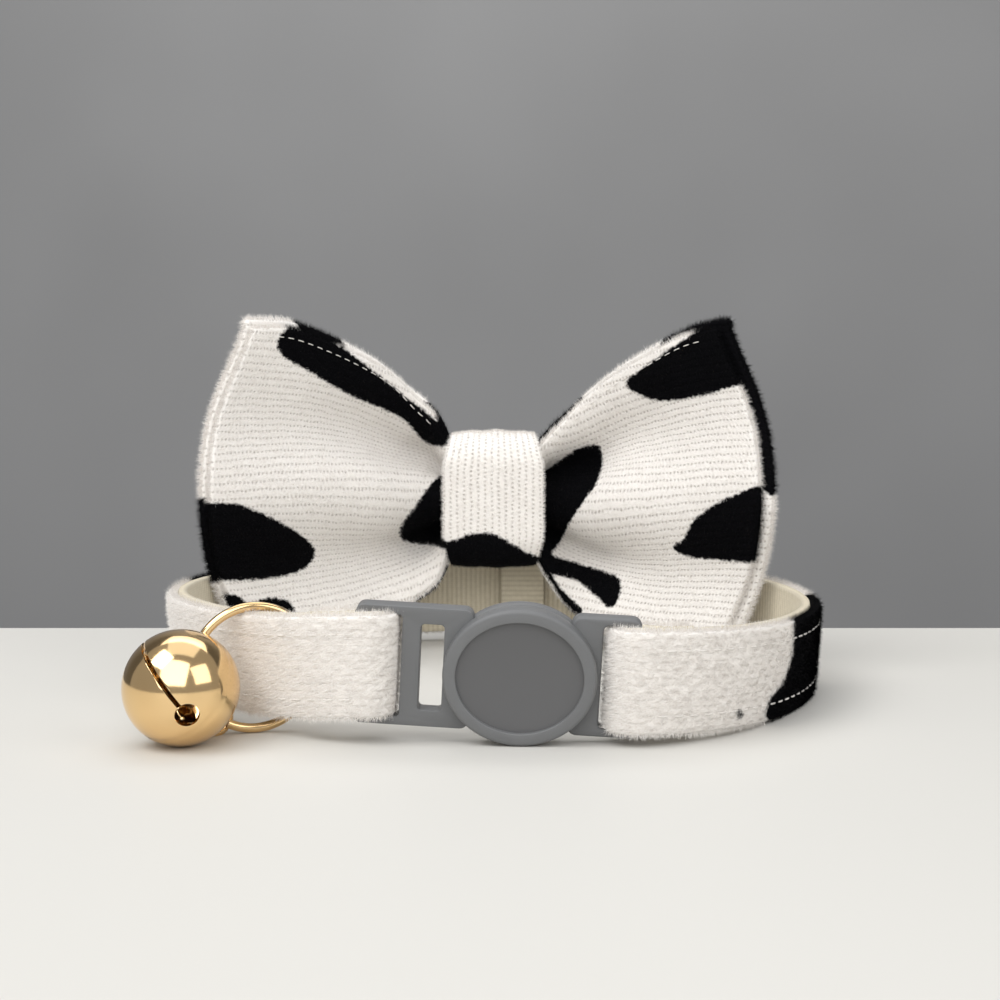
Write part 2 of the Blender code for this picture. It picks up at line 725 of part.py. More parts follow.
def build_pellet(pieces, parent):
    """Build the pellet that lies at the bottom of the bell."""
    matrix, _ = bell_frame()
    rest = matrix.translation - Vector((0, 0, BELL_RADIUS - BELL_WALL - 2 * TOUCH_GAP - PELLET_DIAMETER / 2))
    shape = bmesh.new()
    bmesh.ops.create_uvsphere(shape, u_segments=12, v_segments=8, radius=PELLET_DIAMETER / 2)
    pellet = add_object("bell_pellet", mesh_from_bmesh("bell_pellet", shape), "gold", pieces, parent)
    pellet.matrix_basis = Matrix.Translation(rest)


def pleat_profile(pleat, length_share):
    """Give a pleated section of unit half height, at a signed share of its cloth from the middle.

    The cloth's direction swings to each side as a sine, which folds it into three ridges toward
    the front, at the middle and both edges, with two valleys between. The result is the depth and
    height, and the direction across the cloth.
    """
    swing = math.radians(pleat)
    steps = np.linspace(0.0, 1.0, 101)
    rise = area_under(np.cos(swing * np.sin(2 * math.pi * steps)), steps)
    along = np.linspace(0.0, abs(length_share), 101)
    angles = swing * np.sin(2 * math.pi * along)
    depth = area_under(np.sin(angles), along) / rise
    height = math.copysign(area_under(np.cos(angles), along) / rise, length_share)
    direction = swing * math.sin(2 * math.pi * abs(length_share))
    lean = math.sin(direction) * math.copysign(1.0, length_share)
    return depth, height, Vector((-math.cos(direction), lean)), 1.0 / rise


def wing_line(distance):
    """Give the bow's line in plan, as its place beside the knot and its heading, at a length."""
    flat = KNOT_WIDTH / 2
    sweep = math.radians(BOW_SWEEP)
    steps = np.linspace(0.0, distance, 60)
    heading = np.array([sweep * smoothstep((step - flat) / BOW_SWEEP_LENGTH) for step in steps])
    return (
        area_under(np.cos(heading), steps),
        -area_under(np.sin(heading), steps),
        float(heading[-1]),
    )


def tip_curve(share):
    """Give how far a wing's end falls short of its middle, as a share, toward its corners."""
    soft = 0.35
    return (math.hypot(share, soft) - soft) / (math.hypot(1.0, soft) - soft)


def bow_point(side, station, cloth, low, is_front):
    """Give a point of a bow panel.

    station is the share along the wing and the length past its tip, and cloth the share across
    the panel and the length past its edge.
    """
    along, past_tip = station
    across, past_edge = cloth
    wing = WING_SHAPES["left" if side < 0 else "right"]
    height_share = read_table(wing, "along", "height", along)
    pleat = read_table(BOW_PLEATS, "along", "pleat", along)
    puff = read_table(BOW_PLEATS, "along", "puff", along) * BOW_PUFF * (1.0 - across * across)
    half_height = (BOW_HEIGHT / 2 - BOW_SEAM) * height_share
    cloth_length = half_height * pleat_profile(pleat, 1.0)[3]
    cloth_share = across + math.copysign(past_edge / cloth_length, across)
    depth, height, normal, _ = pleat_profile(pleat, cloth_share)
    away = (LAYER_GAP / 2 + low + puff / 2) * (1.0 if is_front else -1.0)
    centered = pleat_profile(pleat, 0.5)[0] / 2 * (1.0 - height_share)
    depth_here = (depth - centered) * half_height + normal.x * away
    height_here = height * half_height + normal.y * away
    length = BOW_LEFT_LENGTH if side < 0 else BOW_RIGHT_LENGTH
    distance = along * (length - BOW_TIP_CURVE * tip_curve(across)) + past_tip
    beside, forward, heading = wing_line(distance)
    middle = BOW_LIFT + BOW_HEIGHT * (0.5 - read_table(wing, "along", "sag", along))
    return Vector((
        BOW_CENTER_X + side * (beside + math.sin(heading) * depth_here),
        BOW_CENTER_Y + forward + math.cos(heading) * depth_here,
        middle + height_here,
    ))


def bow_panel(name, is_front):
    """Loft one panel of the bow from its left tip to its right one.

    Both panels have the same stations, so they run side by side. The back one goes on past the
    front one's edges by the seam, which is narrower in the knot.
    """
    shares = [index / BOW_STATIONS for index in range(BOW_STATIONS, 0, -1)]
    left = [(-1, (share, 0.0)) for share in shares]
    right = [(1, (share, 0.0)) for share in reversed(shares)]
    if not is_front:
        left.insert(0, (-1, (1.0, BOW_LEFT_TIP_SEAM)))
        right.append((1, (1.0, BOW_SEAM)))
    rings = []
    for side, station in [*left, (1, (0.0, 0.0)), *right]:
        cloths = [(2.0 * index / BOW_POINTS - 1.0, 0.0) for index in range(BOW_POINTS + 1)]
        if not is_front:
            seam = BOW_SEAM * (KNOT_SEAM_SHARE + (1.0 - KNOT_SEAM_SHARE) * smoothstep(station[0] / 0.3))
            cloths = [(-1.0, seam), *cloths, (1.0, seam)]
        near = [bow_point(side, station, cloth, 0.0, is_front) for cloth in cloths]
        far = [bow_point(side, station, cloth, BOW_CLOTH, is_front) for cloth in cloths]
        rings.append(far + list(reversed(near)))
    return loft(name, rings)


def band_loop(name, half_depth, half_height, thickness, half_width, radius, center, waist=1.0):
    """Loft a closed band round the X axis, along a rectangle with round corners.

    waist narrows the band where it passes over the top and the bottom.
    """
    corner_steps = 5
    rings = []
    for quarter in range(4):
        for index in range(corner_steps + 1):
            angle = math.radians(90.0 * quarter + 90.0 * index / corner_steps)
            out = Vector((0.0, math.cos(angle), math.sin(angle)))
            corner = Vector((
                0.0,
                math.copysign(half_depth - radius, math.cos(math.radians(90.0 * quarter + 45.0))),
                math.copysign(half_height - radius, math.sin(math.radians(90.0 * quarter + 45.0))),
            ))
            narrow = half_width * (1.0 - (1.0 - waist) * abs(math.sin(angle)))
            section = chamfered_ring(radius - thickness, radius, narrow, thickness / 4)
            middle = center + corner
            rings.append([middle + out * across + Vector((beside, 0, 0)) for across, beside in section])
    return loft(name, rings, closed=True)


def build_bow(pieces, parent):
    """Build the two panels, the knot and the keeper behind it."""
    add_object("bow_front_panel", bow_panel("bow_front_panel", True), "plush", pieces, parent)
    add_object("bow_back_panel", bow_panel("bow_back_panel", False), "plush", pieces, parent)
    knot_center = Vector((BOW_CENTER_X, BOW_CENTER_Y, KNOT_CENTER_HEIGHT))
    knot = band_loop(
        "bow_knot", KNOT_DEPTH / 2, KNOT_HEIGHT / 2, KNOT_CLOTH, KNOT_WIDTH / 2,
        KNOT_ROUND, knot_center, KNOT_WAIST,
    )
    add_object("bow_knot", knot, "plush", pieces, parent)
    keeper_front = KNOT_BACK_Y + TOUCH_GAP
    keeper_half_depth = (KEEPER_BACK_Y - keeper_front) / 2
    keeper_center = Vector((
        BOW_CENTER_X + KEEPER_OFFSET_X, keeper_front + keeper_half_depth, KEEPER_TOP / 2,
    ))
    keeper = band_loop(
        "bow_keeper", keeper_half_depth, KEEPER_TOP / 2, KEEPER_CLOTH, KEEPER_WIDTH / 2,
        KEEPER_ROUND, keeper_center,
    )
    add_object("bow_keeper", keeper, "ribbed_lining", pieces, parent)


def build_strap(pieces, parent):
    """Build the two layers of the strap."""
    half = STRAP_THICKNESS / 2
    cover = strap_layer("strap_cover", half - COVER_THICKNESS, half)
    add_object("strap_cover", cover, "plush", pieces, parent)
    lining = strap_layer("strap_lining", -half, -half + LINING_THICKNESS)
    add_object("strap_lining", lining, "ribbed_lining", pieces, parent)


def center_on_floor(pieces, parent):
    """Move everything so that the origin is the middle of the bounding box's bottom."""
    bpy.context.view_layer.update()
    depsgraph = bpy.context.evaluated_depsgraph_get()
    corners = []
    for piece in pieces.objects:
        shown = piece.evaluated_get(depsgraph)
        mesh = shown.to_mesh()
        corners.extend(shown.matrix_world @ vertex.co for vertex in mesh.vertices)
        shown.to_mesh_clear()
    spots = np.array([tuple(corner) for corner in corners])
    low = spots.min(axis=0)
    high = spots.max(axis=0)
    parent.location = Vector((-(low[0] + high[0]) / 2, -(low[1] + high[1]) / 2, -low[2]))


def main():
    """Build the collar."""
    clear_scene()
    pieces = make_collection("pet_bow_tie_collar")
    guides = make_collection("cutters")
    parent = bpy.data.objects.new("collar_place", None)
    guides.objects.link(parent)
    build_strap(pieces, parent)
    build_housing(pieces, guides, parent)
    build_latch(pieces, guides, parent)
    build_ring(pieces, parent)
    build_bell(pieces, guides, parent)
    build_pellet(pieces, parent)
    build_bow(pieces, parent)
    center_on_floor(pieces, parent)


main()
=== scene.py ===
"""Looks of the pet bow tie collar: plush cloth with its pile, ribbed lining, grey buckle and gold bell."""

import logging
import math
from dataclasses import dataclass, field
from enum import Enum

import bmesh
import bpy
import numpy as np
from mathutils import Matrix, Vector


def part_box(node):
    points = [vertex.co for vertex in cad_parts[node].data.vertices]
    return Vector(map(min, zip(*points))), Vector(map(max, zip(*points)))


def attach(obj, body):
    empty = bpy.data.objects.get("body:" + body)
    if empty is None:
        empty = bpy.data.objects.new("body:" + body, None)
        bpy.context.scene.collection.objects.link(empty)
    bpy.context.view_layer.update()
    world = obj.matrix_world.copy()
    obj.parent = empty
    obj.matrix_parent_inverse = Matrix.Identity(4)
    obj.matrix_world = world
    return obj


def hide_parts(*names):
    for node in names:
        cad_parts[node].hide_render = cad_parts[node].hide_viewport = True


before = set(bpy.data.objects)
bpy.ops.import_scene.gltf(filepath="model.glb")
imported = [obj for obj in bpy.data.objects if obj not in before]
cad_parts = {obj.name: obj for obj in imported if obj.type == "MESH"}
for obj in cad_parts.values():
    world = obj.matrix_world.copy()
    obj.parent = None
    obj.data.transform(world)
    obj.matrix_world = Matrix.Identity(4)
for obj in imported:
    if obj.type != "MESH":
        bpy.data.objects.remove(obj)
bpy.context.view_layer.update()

LOG = logging.getLogger("collar")
MM = 0.001
ROOT = "root"
COLOUR = {"output": "Result", "data_type": "RGBA"}

# The knot's middle in the maker's frame, whose X is 0 at the camera's middle and whose Y at the loop's
KNOT_MIDDLE = np.array([-0.9, 23.6, 21.0])


def cad_shift() -> np.ndarray:
    """Give what the CAD frame adds to the maker's frame, in mm, read from the knot's box."""
    low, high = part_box("bow_knot")
    return (np.array(low) + np.array(high)) / 2 / MM - KNOT_MIDDLE


SHIFT = cad_shift()


class Side(Enum):
    """A wing of the bow."""

    LEFT = -1
    RIGHT = 1


def linear(code: str) -> tuple[float, float, float, float]:
    """Turn an sRGB hex colour into linear values.

    Args:
        code: The colour, such as "#E9E4DF".

    Returns:
        Red, green, blue and alpha.
    """
    values = [int(code[i:i + 2], 16) / 255 for i in (1, 3, 5)]
    red, green, blue = (v / 12.92 if v <= 0.04045 else ((v + 0.055) / 1.055) ** 2.4 for v in values)
    return red, green, blue, 1.0


def new_material(name: str) -> tuple[bpy.types.Material, bpy.types.NodeTree, bpy.types.Node]:
    """Start a Principled material.

    Args:
        name: The finish's name.

    Returns:
        The material, its node tree and its shader node.
    """
    material = bpy.data.materials.new(name)
    material.use_nodes = True
    tree = material.node_tree
    return material, tree, tree.nodes["Principled BSDF"]


def set_inputs(tree: bpy.types.NodeTree, node: bpy.types.Node, inputs: dict | tuple) -> None:
    """Link a node's inputs or set their values.

    Args:
        tree: The material's node tree.
        node: The node.
        inputs: What the inputs take, by name or in order: a socket to link, or a plain value.
    """
    for key, value in inputs.items() if isinstance(inputs, dict) else enumerate(inputs):
        if isinstance(value, bpy.types.NodeSocket):
            tree.links.new(value, node.inputs[key])
        else:
            node.inputs[key].default_value = value


def add_node(
    tree: bpy.types.NodeTree, kind: str, inputs: dict | tuple = (), output: int | str = 0, **settings: object,
) -> bpy.types.NodeSocket:
    """Add a node with its settings, input values and links.

    Args:
        tree: The material's node tree.
        kind: The node's type, without the ShaderNode in front.
        inputs: What the inputs take, as set_inputs does.
        output: Which output is wanted.
        settings: Attributes of the node.

    Returns:
        The output's socket.
    """
    node = tree.nodes.new("ShaderNode" + kind)
    for name, value in settings.items():
        setattr(node, name, value)
    set_inputs(tree, node, inputs)
    return node.outputs[output]


def read_table(table: tuple[dict[str, float], ...], key: str, column: str, at: np.ndarray) -> np.ndarray:
    """Read a column of a table along a smooth curve through its rows.

    Args:
        table: The rows.
        key: The column of places.
        column: The column of values.
        at: The places to read.

    Returns:
        The values there.
    """
    places = np.array([row[key] for row in table])
    values = np.array([row[column] for row in table])
    at = np.clip(np.asarray(at, dtype=float), places[0], places[-1])
    index = np.clip(np.searchsorted(places, at, side="right") - 1, 0, len(places) - 2)
    low = np.maximum(np.arange(len(places)) - 1, 0)
    high = np.minimum(np.arange(len(places)) + 1, len(places) - 1)
    slopes = (values[high] - values[low]) / (places[high] - places[low])
    span = places[index + 1] - places[index]
    share = (at - places[index]) / span
    square = share ** 2
    cube = share ** 3
    return (
        (2 * cube - 3 * square + 1) * values[index] + (cube - 2 * square + share) * slopes[index] * span
        + (3 * square - 2 * cube) * values[index + 1] + (cube - square) * slopes[index + 1] * span
    )


def smoothstep(value: np.ndarray | float) -> np.ndarray:
    """Ease from 0 to 1."""
    value = np.clip(value, 0.0, 1.0)
    return value * value * (3.0 - 2.0 * value)


@dataclass(frozen=True)
class PhotoCamera:
    """The camera that sees the collar as the photo does, in mm and pixels of the 1000 pixel frame."""

    focal_pixels: float = 1690.0
    frame_pixels: float = 1000.0
    sensor: float = 36.0
    height: float = 38.0
    loop_distance: float = 207.5
    pitch: float = 4.26

    def pixels(self, points: np.ndarray) -> np.ndarray:
        """Give where points of the maker's frame show.

        Args:
            points: Places in mm, the last axis holding x, y and z.

        Returns:
            Columns and rows in pixels of the frame.
        """
        pitch = math.radians(self.pitch)
        ahead = points[..., 1] + self.loop_distance
        above = points[..., 2] - self.height
        depth = ahead * math.cos(pitch) - above * math.sin(pitch)
        rise = ahead * math.sin(pitch) + above * math.cos(pitch)
        half = self.frame_pixels / 2
        across = half + self.focal_pixels * points[..., 0] / depth
        return np.stack([across, half - self.focal_pixels * rise / depth], axis=-1)

    def build(self) -> None:
        """Add the camera to the scene."""
        data = bpy.data.cameras.new("photo_camera")
        data.sensor_width = self.sensor
        data.lens = self.focal_pixels * self.sensor / self.frame_pixels
        camera = bpy.data.objects.new("photo_camera", data)
        place = np.array([0.0, -self.loop_distance, self.height]) + SHIFT
        camera.location = Vector(place) * MM
        camera.rotation_euler = (math.radians(90.0 - self.pitch), 0.0, 0.0)
        data.clip_start = 0.005
        bpy.context.scene.collection.objects.link(camera)
        bpy.context.scene.camera = camera


CAMERA = PhotoCamera()


def round_outline(corners: tuple[tuple[float, float], ...], steps: int = 8) -> np.ndarray:
    """Draw a smooth closed curve through a few points.

    Args:
        corners: The points.
        steps: How many pieces each stretch gets.

    Returns:
        The curve's points.
    """
    points = np.array(corners, dtype=float)
    before, after, later = (np.roll(points, shift, axis=0) for shift in (1, -1, -2))
    rows = []
    for step in range(steps):
        t = step / steps
        rows.append(0.5 * (
            2 * points + (after - before) * t + (2 * before - 5 * points + 4 * after - later) * t ** 2
            + (3 * points - before - 3 * after + later) * t ** 3
        ))
    return np.stack(rows, axis=1).reshape(-1, 2)


def distance_inside(points: np.ndarray, outline: np.ndarray) -> np.ndarray:
    """Give how far inside an outline points lie, negative outside.

    Args:
        points: Places, the last axis holding the two coordinates.
        outline: A closed curve's points.

    Returns:
        The signed distance, in the outline's unit.
    """
    flat = points.reshape(-1, 2)
    nearest = np.full(len(flat), 1e9)
    inside = np.zeros(len(flat), dtype=bool)
    for start, end in zip(outline, np.roll(outline, -1, axis=0)):
        edge = end - start
        offset = flat - start
        share = np.clip(offset @ edge / max(edge @ edge, 1e-12), 0.0, 1.0)
        nearest = np.minimum(nearest, np.hypot(*(offset - share[:, None] * edge).T))
        crosses = (start[1] > flat[:, 1]) != (end[1] > flat[:, 1])
        height = np.where(abs(edge[1]) < 1e-12, 1e-12, edge[1])
        inside ^= crosses & (flat[:, 0] < start[0] + (flat[:, 1] - start[1]) * edge[0] / height)
    return np.where(inside, nearest, -nearest).reshape(points.shape[:-1])


def between(
    values: np.ndarray, row: np.ndarray, column: np.ndarray, share_a: np.ndarray, share_b: np.ndarray,
) -> np.ndarray:
    """Read a lattice's values between its places.

    Args:
        values: The lattice, with or without a last axis of coordinates.
        row: Each spot's row.
        column: Each spot's column.
        share_a: How far each spot is on the way to the next row.
        share_b: How far each spot is on the way to the next column.

    Returns:
        The values at the spots.
    """
    a, b = (share_a, share_b) if values.ndim == 2 else (share_a[:, None], share_b[:, None])
    low = values[row, column] * (1 - a) + values[row + 1, column] * a
    high = values[row, column + 1] * (1 - a) + values[row + 1, column + 1] * a
    return low * (1 - b) + high * b


def along_edge(
    values: np.ndarray, rows: slice, columns: slice, spot: np.ndarray, length: np.ndarray,
) -> np.ndarray:
    """Read a lattice's values along one of its edges.

    Args:
        values: The lattice, with or without a last axis of coordinates.
        rows: The edge's rows.
        columns: The edge's columns.
        spot: Lengths along the edge.
        length: The length along the edge of each of its places.

    Returns:
        The values at the spots, one row each.
    """
    flat = values[rows, columns].reshape(len(length), -1)
    return np.stack([np.interp(spot, length, part) for part in flat.T], axis=-1)


@dataclass(frozen=True)
class Pile:
    """Sizes of a pile, in mm and degrees, drawn a little coarser than real fibres so that it shows.

    The density counts fibres by the square mm of a face, or by the mm of an edge. The lean is from the
    face's normal, and the nap is the direction of the lean, from the cloth's length.
    """

    density: float
    length: float
    width: float = 0.05
    lean_low: float = 25.0
    lean_high: float = 75.0
    nap: float = 0.0
    spread: float = 1.2


@dataclass(frozen=True)
class Stitch:
    """A running stitch, in mm: its line's distance from the edge, its pitch, length, thread and relief."""

    inset: float
    pitch: float
    length: float
    thread: float
    relief: float


@dataclass
class Cloth:
    """A sheet of cloth as a lattice of places, in mm of the maker's frame.

    places holds the outer face, along and across the length on the cloth in mm, and black how far
    inside a black patch each place lies, in mm.
    """

    places: np.ndarray
    along: np.ndarray
    across: np.ndarray
    black: np.ndarray
    flipped: bool = False

    def directions(self) -> tuple[np.ndarray, np.ndarray, np.ndarray]:
        """Work out the cloth's directions.

        Returns:
            Unit vectors along the cloth, across it and out of its outer face.
        """
        ahead = np.gradient(self.places, axis=0)
        beside = np.gradient(self.places, axis=1)
        out = np.cross(ahead, beside)
        if self.flipped:
            out = -out
        return tuple(
            (v / np.maximum(np.linalg.norm(v, axis=-1, keepdims=True), 1e-09) for v in (ahead, beside, out)),
        )

    def build(
        self, name: str, thickness: float, material: bpy.types.Material, closed: bool = False,
    ) -> bpy.types.Object:
        """Make the cloth as a mesh with a real thickness.

        Args:
            name: The piece's name.
            thickness: The cloth's thickness in mm, inward of the outer face.
            material: Its finish.
            closed: Whether the last row meets the first.

        Returns:
            The piece.
        """
        count_along, count_across = self.along.shape
        deselect_all()
        bpy.ops.mesh.primitive_grid_add(
            x_subdivisions=count_along - 1, y_subdivisions=count_across - 1, size=1.0,
        )
        piece = bpy.context.object
        piece.name = name
        mesh = piece.data
        flat = np.empty(len(mesh.vertices) * 3)
        mesh.vertices.foreach_get("co", flat)
        grid = flat.reshape(-1, 3)
        row = np.rint((grid[:, 0] + 0.5) * (count_along - 1)).astype(int)
        column = np.rint((grid[:, 1] + 0.5) * (count_across - 1)).astype(int)
        mesh.vertices.foreach_set("co", ((self.places + SHIFT)[row, column] * MM).astype(np.float32).ravel())
        attribute = mesh.attributes.new("black_mm", "FLOAT", "POINT")
        attribute.data.foreach_set("value", self.black[row, column].astype(np.float32))
        corner = np.empty(len(mesh.loops), dtype=int)
        mesh.loops.foreach_get("vertex_index", corner)
        spots = np.stack([self.along[row, column][corner], self.across[row, column][corner]], axis=-1)
        mesh.uv_layers[0].data.foreach_set("uv", spots.astype(np.float32).ravel())
        if self.flipped:
            mesh.flip_normals()
        if closed:
            merge_doubles(mesh, 0.002 * MM)
        wall = piece.modifiers.new("wall", "SOLIDIFY")
        wall.thickness = thickness * MM
        wall.offset = -1.0
        apply_modifiers(piece)
        mesh.shade_smooth()
        give_material(piece, material)
        return piece

    def sew(
        self, name: str, stitch: Stitch, side: int, rows: slice, material: bpy.types.Material,
    ) -> bpy.types.Object:
        """Sew a running stitch along the cloth.

        Args:
            name: The piece's name.
            stitch: Its sizes.
            side: 1 for the upper edge, -1 for the lower one.
            rows: The stretch of the cloth's rows that is sewn.
            material: The thread's finish.

        Returns:
            The thread.
        """
        _, _, out = self.directions()
        line = []
        ways = []
        for places, across, normals in zip(self.places[rows], self.across[rows], out[rows]):
            spot = across[-1] - stitch.inset if side > 0 else across[0] + stitch.inset
            line.append([np.interp(spot, across, part) for part in places.T])
            ways.append([np.interp(spot, across, part) for part in normals.T])
        line = np.array(line)
        ways = np.array(ways)
        length = np.concatenate([[0.0], np.cumsum(np.linalg.norm(np.diff(line, axis=0), axis=-1))])
        curve = bpy.data.curves.new(name, "CURVE")
        curve.dimensions = "3D"
        curve.bevel_depth = stitch.thread / 2 * MM
        curve.bevel_resolution = 2
        curve.use_fill_caps = True
        shares = np.linspace(0.0, 1.0, 7)
        for start in np.arange(stitch.pitch / 2, length[-1] - stitch.pitch, stitch.pitch):
            spots = start + stitch.length * shares
            lift = stitch.thread * (stitch.relief * np.sin(math.pi * shares) ** 0.5 - 0.5)
            points = np.stack([np.interp(spots, length, part) for part in line.T], axis=-1)
            normal = np.stack([np.interp(spots, length, part) for part in ways.T], axis=-1)
            points = (points + normal * lift[:, None] + SHIFT) * MM
            spline = curve.splines.new("POLY")
            spline.points.add(len(shares) - 1)
            for point, place in zip(spline.points, points):
                point.co = (*place, 1.0)
        piece = mesh_from_curve(name, curve)
        piece.data.shade_smooth()
        give_material(piece, material)
        return piece

    def grow_pile(self, name: str, pile: Pile, seed: int, material: bpy.types.Material) -> bpy.types.Object:
        """Grow short fibres out of the cloth's outer face, as one mesh of small blades.

        Args:
            name: The piece's name.
            pile: The pile's sizes.
            seed: The seed of its spread.
            material: Its finish.

        Returns:
            The piece.
        """
        rng = np.random.default_rng(seed)
        ahead, beside, out = self.directions()
        corner = self.places[:-1, :-1]
        area = np.linalg.norm(np.cross(self.places[1:, :-1] - corner, self.places[:-1, 1:] - corner), axis=-1)
        total = np.cumsum(area.ravel())
        count = int(total[-1] * pile.density)
        cell = np.searchsorted(total, rng.random(count) * total[-1])
        row, column = np.unravel_index(np.minimum(cell, area.size - 1), area.shape)
        shares = rng.random((2, count))

        spots = (row, column, *shares)
        swirl = rng.normal(pile.nap, pile.spread, count)
        swirl = swirl[:, None]
        lie = between(ahead, *spots) * np.cos(swirl) + between(beside, *spots) * np.sin(swirl)
        lean = np.radians(rng.uniform(pile.lean_low, pile.lean_high, count))[:, None]
        way = between(out, *spots) * np.cos(lean) + lie * np.sin(lean)
        wide = np.cross(way, between(out, *spots))
        wide /= np.maximum(np.linalg.norm(wide, axis=-1, keepdims=True), 1e-9)
        length = pile.length * rng.uniform(0.55, 1.25, count)[:, None]
        half = pile.width / 2
        root = between(self.places, *spots) - between(out, *spots) * 0.05
        corners = np.stack([root - wide * half, root + wide * half, root + way * length], axis=1)
        return blades(name, corners, np.repeat(between(self.black, *spots), 3), material)

    def grow_fringe(
        self, name: str, pile: Pile, seed: int, material: bpy.types.Material, ends: str = "01ab",
    ) -> bpy.types.Object:
        """Grow fibres out of the cloth's cut edges.

        Args:
            name: The piece's name.
            pile: The fringe's sizes.
            seed: The seed of its spread.
            material: Its finish.
            ends: Which edges: some of "0", "1", "a" and "b" for the first and last rows and columns.

        Returns:
            The piece.
        """
        rng = np.random.default_rng(seed)
        ahead, beside, out = self.directions()
        lines = {
            "0": (slice(0, 1), slice(None), -ahead), "1": (slice(-1, None), slice(None), ahead),
            "a": (slice(None), slice(0, 1), -beside), "b": (slice(None), slice(-1, None), beside),
        }
        corners = []
        blacks = []
        for end in ends:
            rows, columns, outward = lines[end]
            line = self.places[rows, columns].reshape(-1, 3)
            length = np.concatenate([[0.0], np.cumsum(np.linalg.norm(np.diff(line, axis=0), axis=-1))])
            count = int(length[-1] * pile.density)
            spot = rng.random(count) * length[-1]

            line_spots = (rows, columns, spot, length)
            normal = along_edge(out, *line_spots)
            way = along_edge(outward, *line_spots) + normal * rng.normal(0.15, 0.35, count)[:, None]
            side = np.cross(along_edge(outward, *line_spots), normal)
            way = way + side * rng.normal(0.0, 0.45, count)[:, None]
            way /= np.linalg.norm(way, axis=-1, keepdims=True)
            wide = np.cross(way, normal)
            wide /= np.maximum(np.linalg.norm(wide, axis=-1, keepdims=True), 1e-9)
            root = along_edge(self.places, *line_spots) - normal * rng.uniform(0.0, 0.9, count)[:, None]
            reach = pile.length * rng.uniform(0.4, 1.3, count)[:, None]
            half = pile.width / 2
            corners.append(np.stack([root - wide * half, root + wide * half, root + way * reach], axis=1))
            blacks.append(np.repeat(along_edge(self.black, *line_spots)[:, 0], 3))
        return blades(name, np.concatenate(corners), np.concatenate(blacks), material)


def deselect_all() -> None:
    """Leave nothing selected."""
    for each in bpy.context.selected_objects:
        each.select_set(False)


def apply_modifiers(piece: bpy.types.Object) -> None:
    """Apply a piece's modifiers in order."""
    deselect_all()
    piece.select_set(True)
    bpy.context.view_layer.objects.active = piece
    for modifier in list(piece.modifiers):
        bpy.ops.object.modifier_apply(modifier=modifier.name)


def merge_doubles(mesh: bpy.types.Mesh, distance: float) -> None:
    """Merge a mesh's vertices that lie within a distance of each other, in the mesh's unit."""
    edit = bmesh.new()
    edit.from_mesh(mesh)
    bmesh.ops.remove_doubles(edit, verts=edit.verts, dist=distance)
    edit.to_mesh(mesh)
    edit.free()


def mesh_from_curve(name: str, curve: bpy.types.Curve) -> bpy.types.Object:
    """Make a piece from a curve with a round section.

    Args:
        name: The piece's name.
        curve: The curve.

    Returns:
        The piece, as a mesh.
    """
    drawn = bpy.data.objects.new(name, curve)
    bpy.context.scene.collection.objects.link(drawn)
    mesh = bpy.data.meshes.new_from_object(drawn.evaluated_get(bpy.context.evaluated_depsgraph_get()))
    bpy.data.objects.remove(drawn)
    piece = bpy.data.objects.new(name, mesh)
    bpy.context.scene.collection.objects.link(piece)
    return piece


def give_material(piece: bpy.types.Object, material: bpy.types.Material) -> None:
    """Give a piece one material."""
    piece.data.materials.clear()
    piece.data.materials.append(material)


def blades(
    name: str, corners: np.ndarray, black: np.ndarray, material: bpy.types.Material,
) -> bpy.types.Object:
    """Join three-cornered fibres into one mesh.

    Args:
        name: The piece's name.
        corners: Each fibre's corners, in mm of the maker's frame.
        black: How far inside a black patch each corner lies.
        material: The finish.

    Returns:
        The piece.
    """
    mesh = bpy.data.meshes.new(name)
    count = len(corners)
    mesh.vertices.add(count * 3)
    mesh.vertices.foreach_set("co", ((corners + SHIFT) * MM).astype(np.float32).ravel())
    mesh.loops.add(count * 3)
    mesh.loops.foreach_set("vertex_index", np.arange(count * 3, dtype=np.int32))
    mesh.polygons.add(count)
    mesh.polygons.foreach_set("loop_start", np.arange(0, count * 3, 3, dtype=np.int32))
    mesh.update(calc_edges=True)
    mesh.validate()
    attribute = mesh.attributes.new("black_mm", "FLOAT", "POINT")
    attribute.data.foreach_set("value", black.astype(np.float32))
    piece = bpy.data.objects.new(name, mesh)
    bpy.context.scene.collection.objects.link(piece)
    give_material(piece, material)
    return piece


def hand_over(piece: bpy.types.Object, slot: str, *nodes: str) -> bpy.types.Object:
    """Let a finished piece ride on the collar, in place of its CAD nodes.

    Args:
        piece: The piece, at the origin.
        slot: Not used.
        nodes: The CAD nodes that it stands for.

    Returns:
        The piece.
    """
    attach(piece, ROOT)
    if nodes:
        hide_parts(*nodes)
    LOG.info("%s: %d faces", piece.name, len(piece.data.polygons))
    return piece


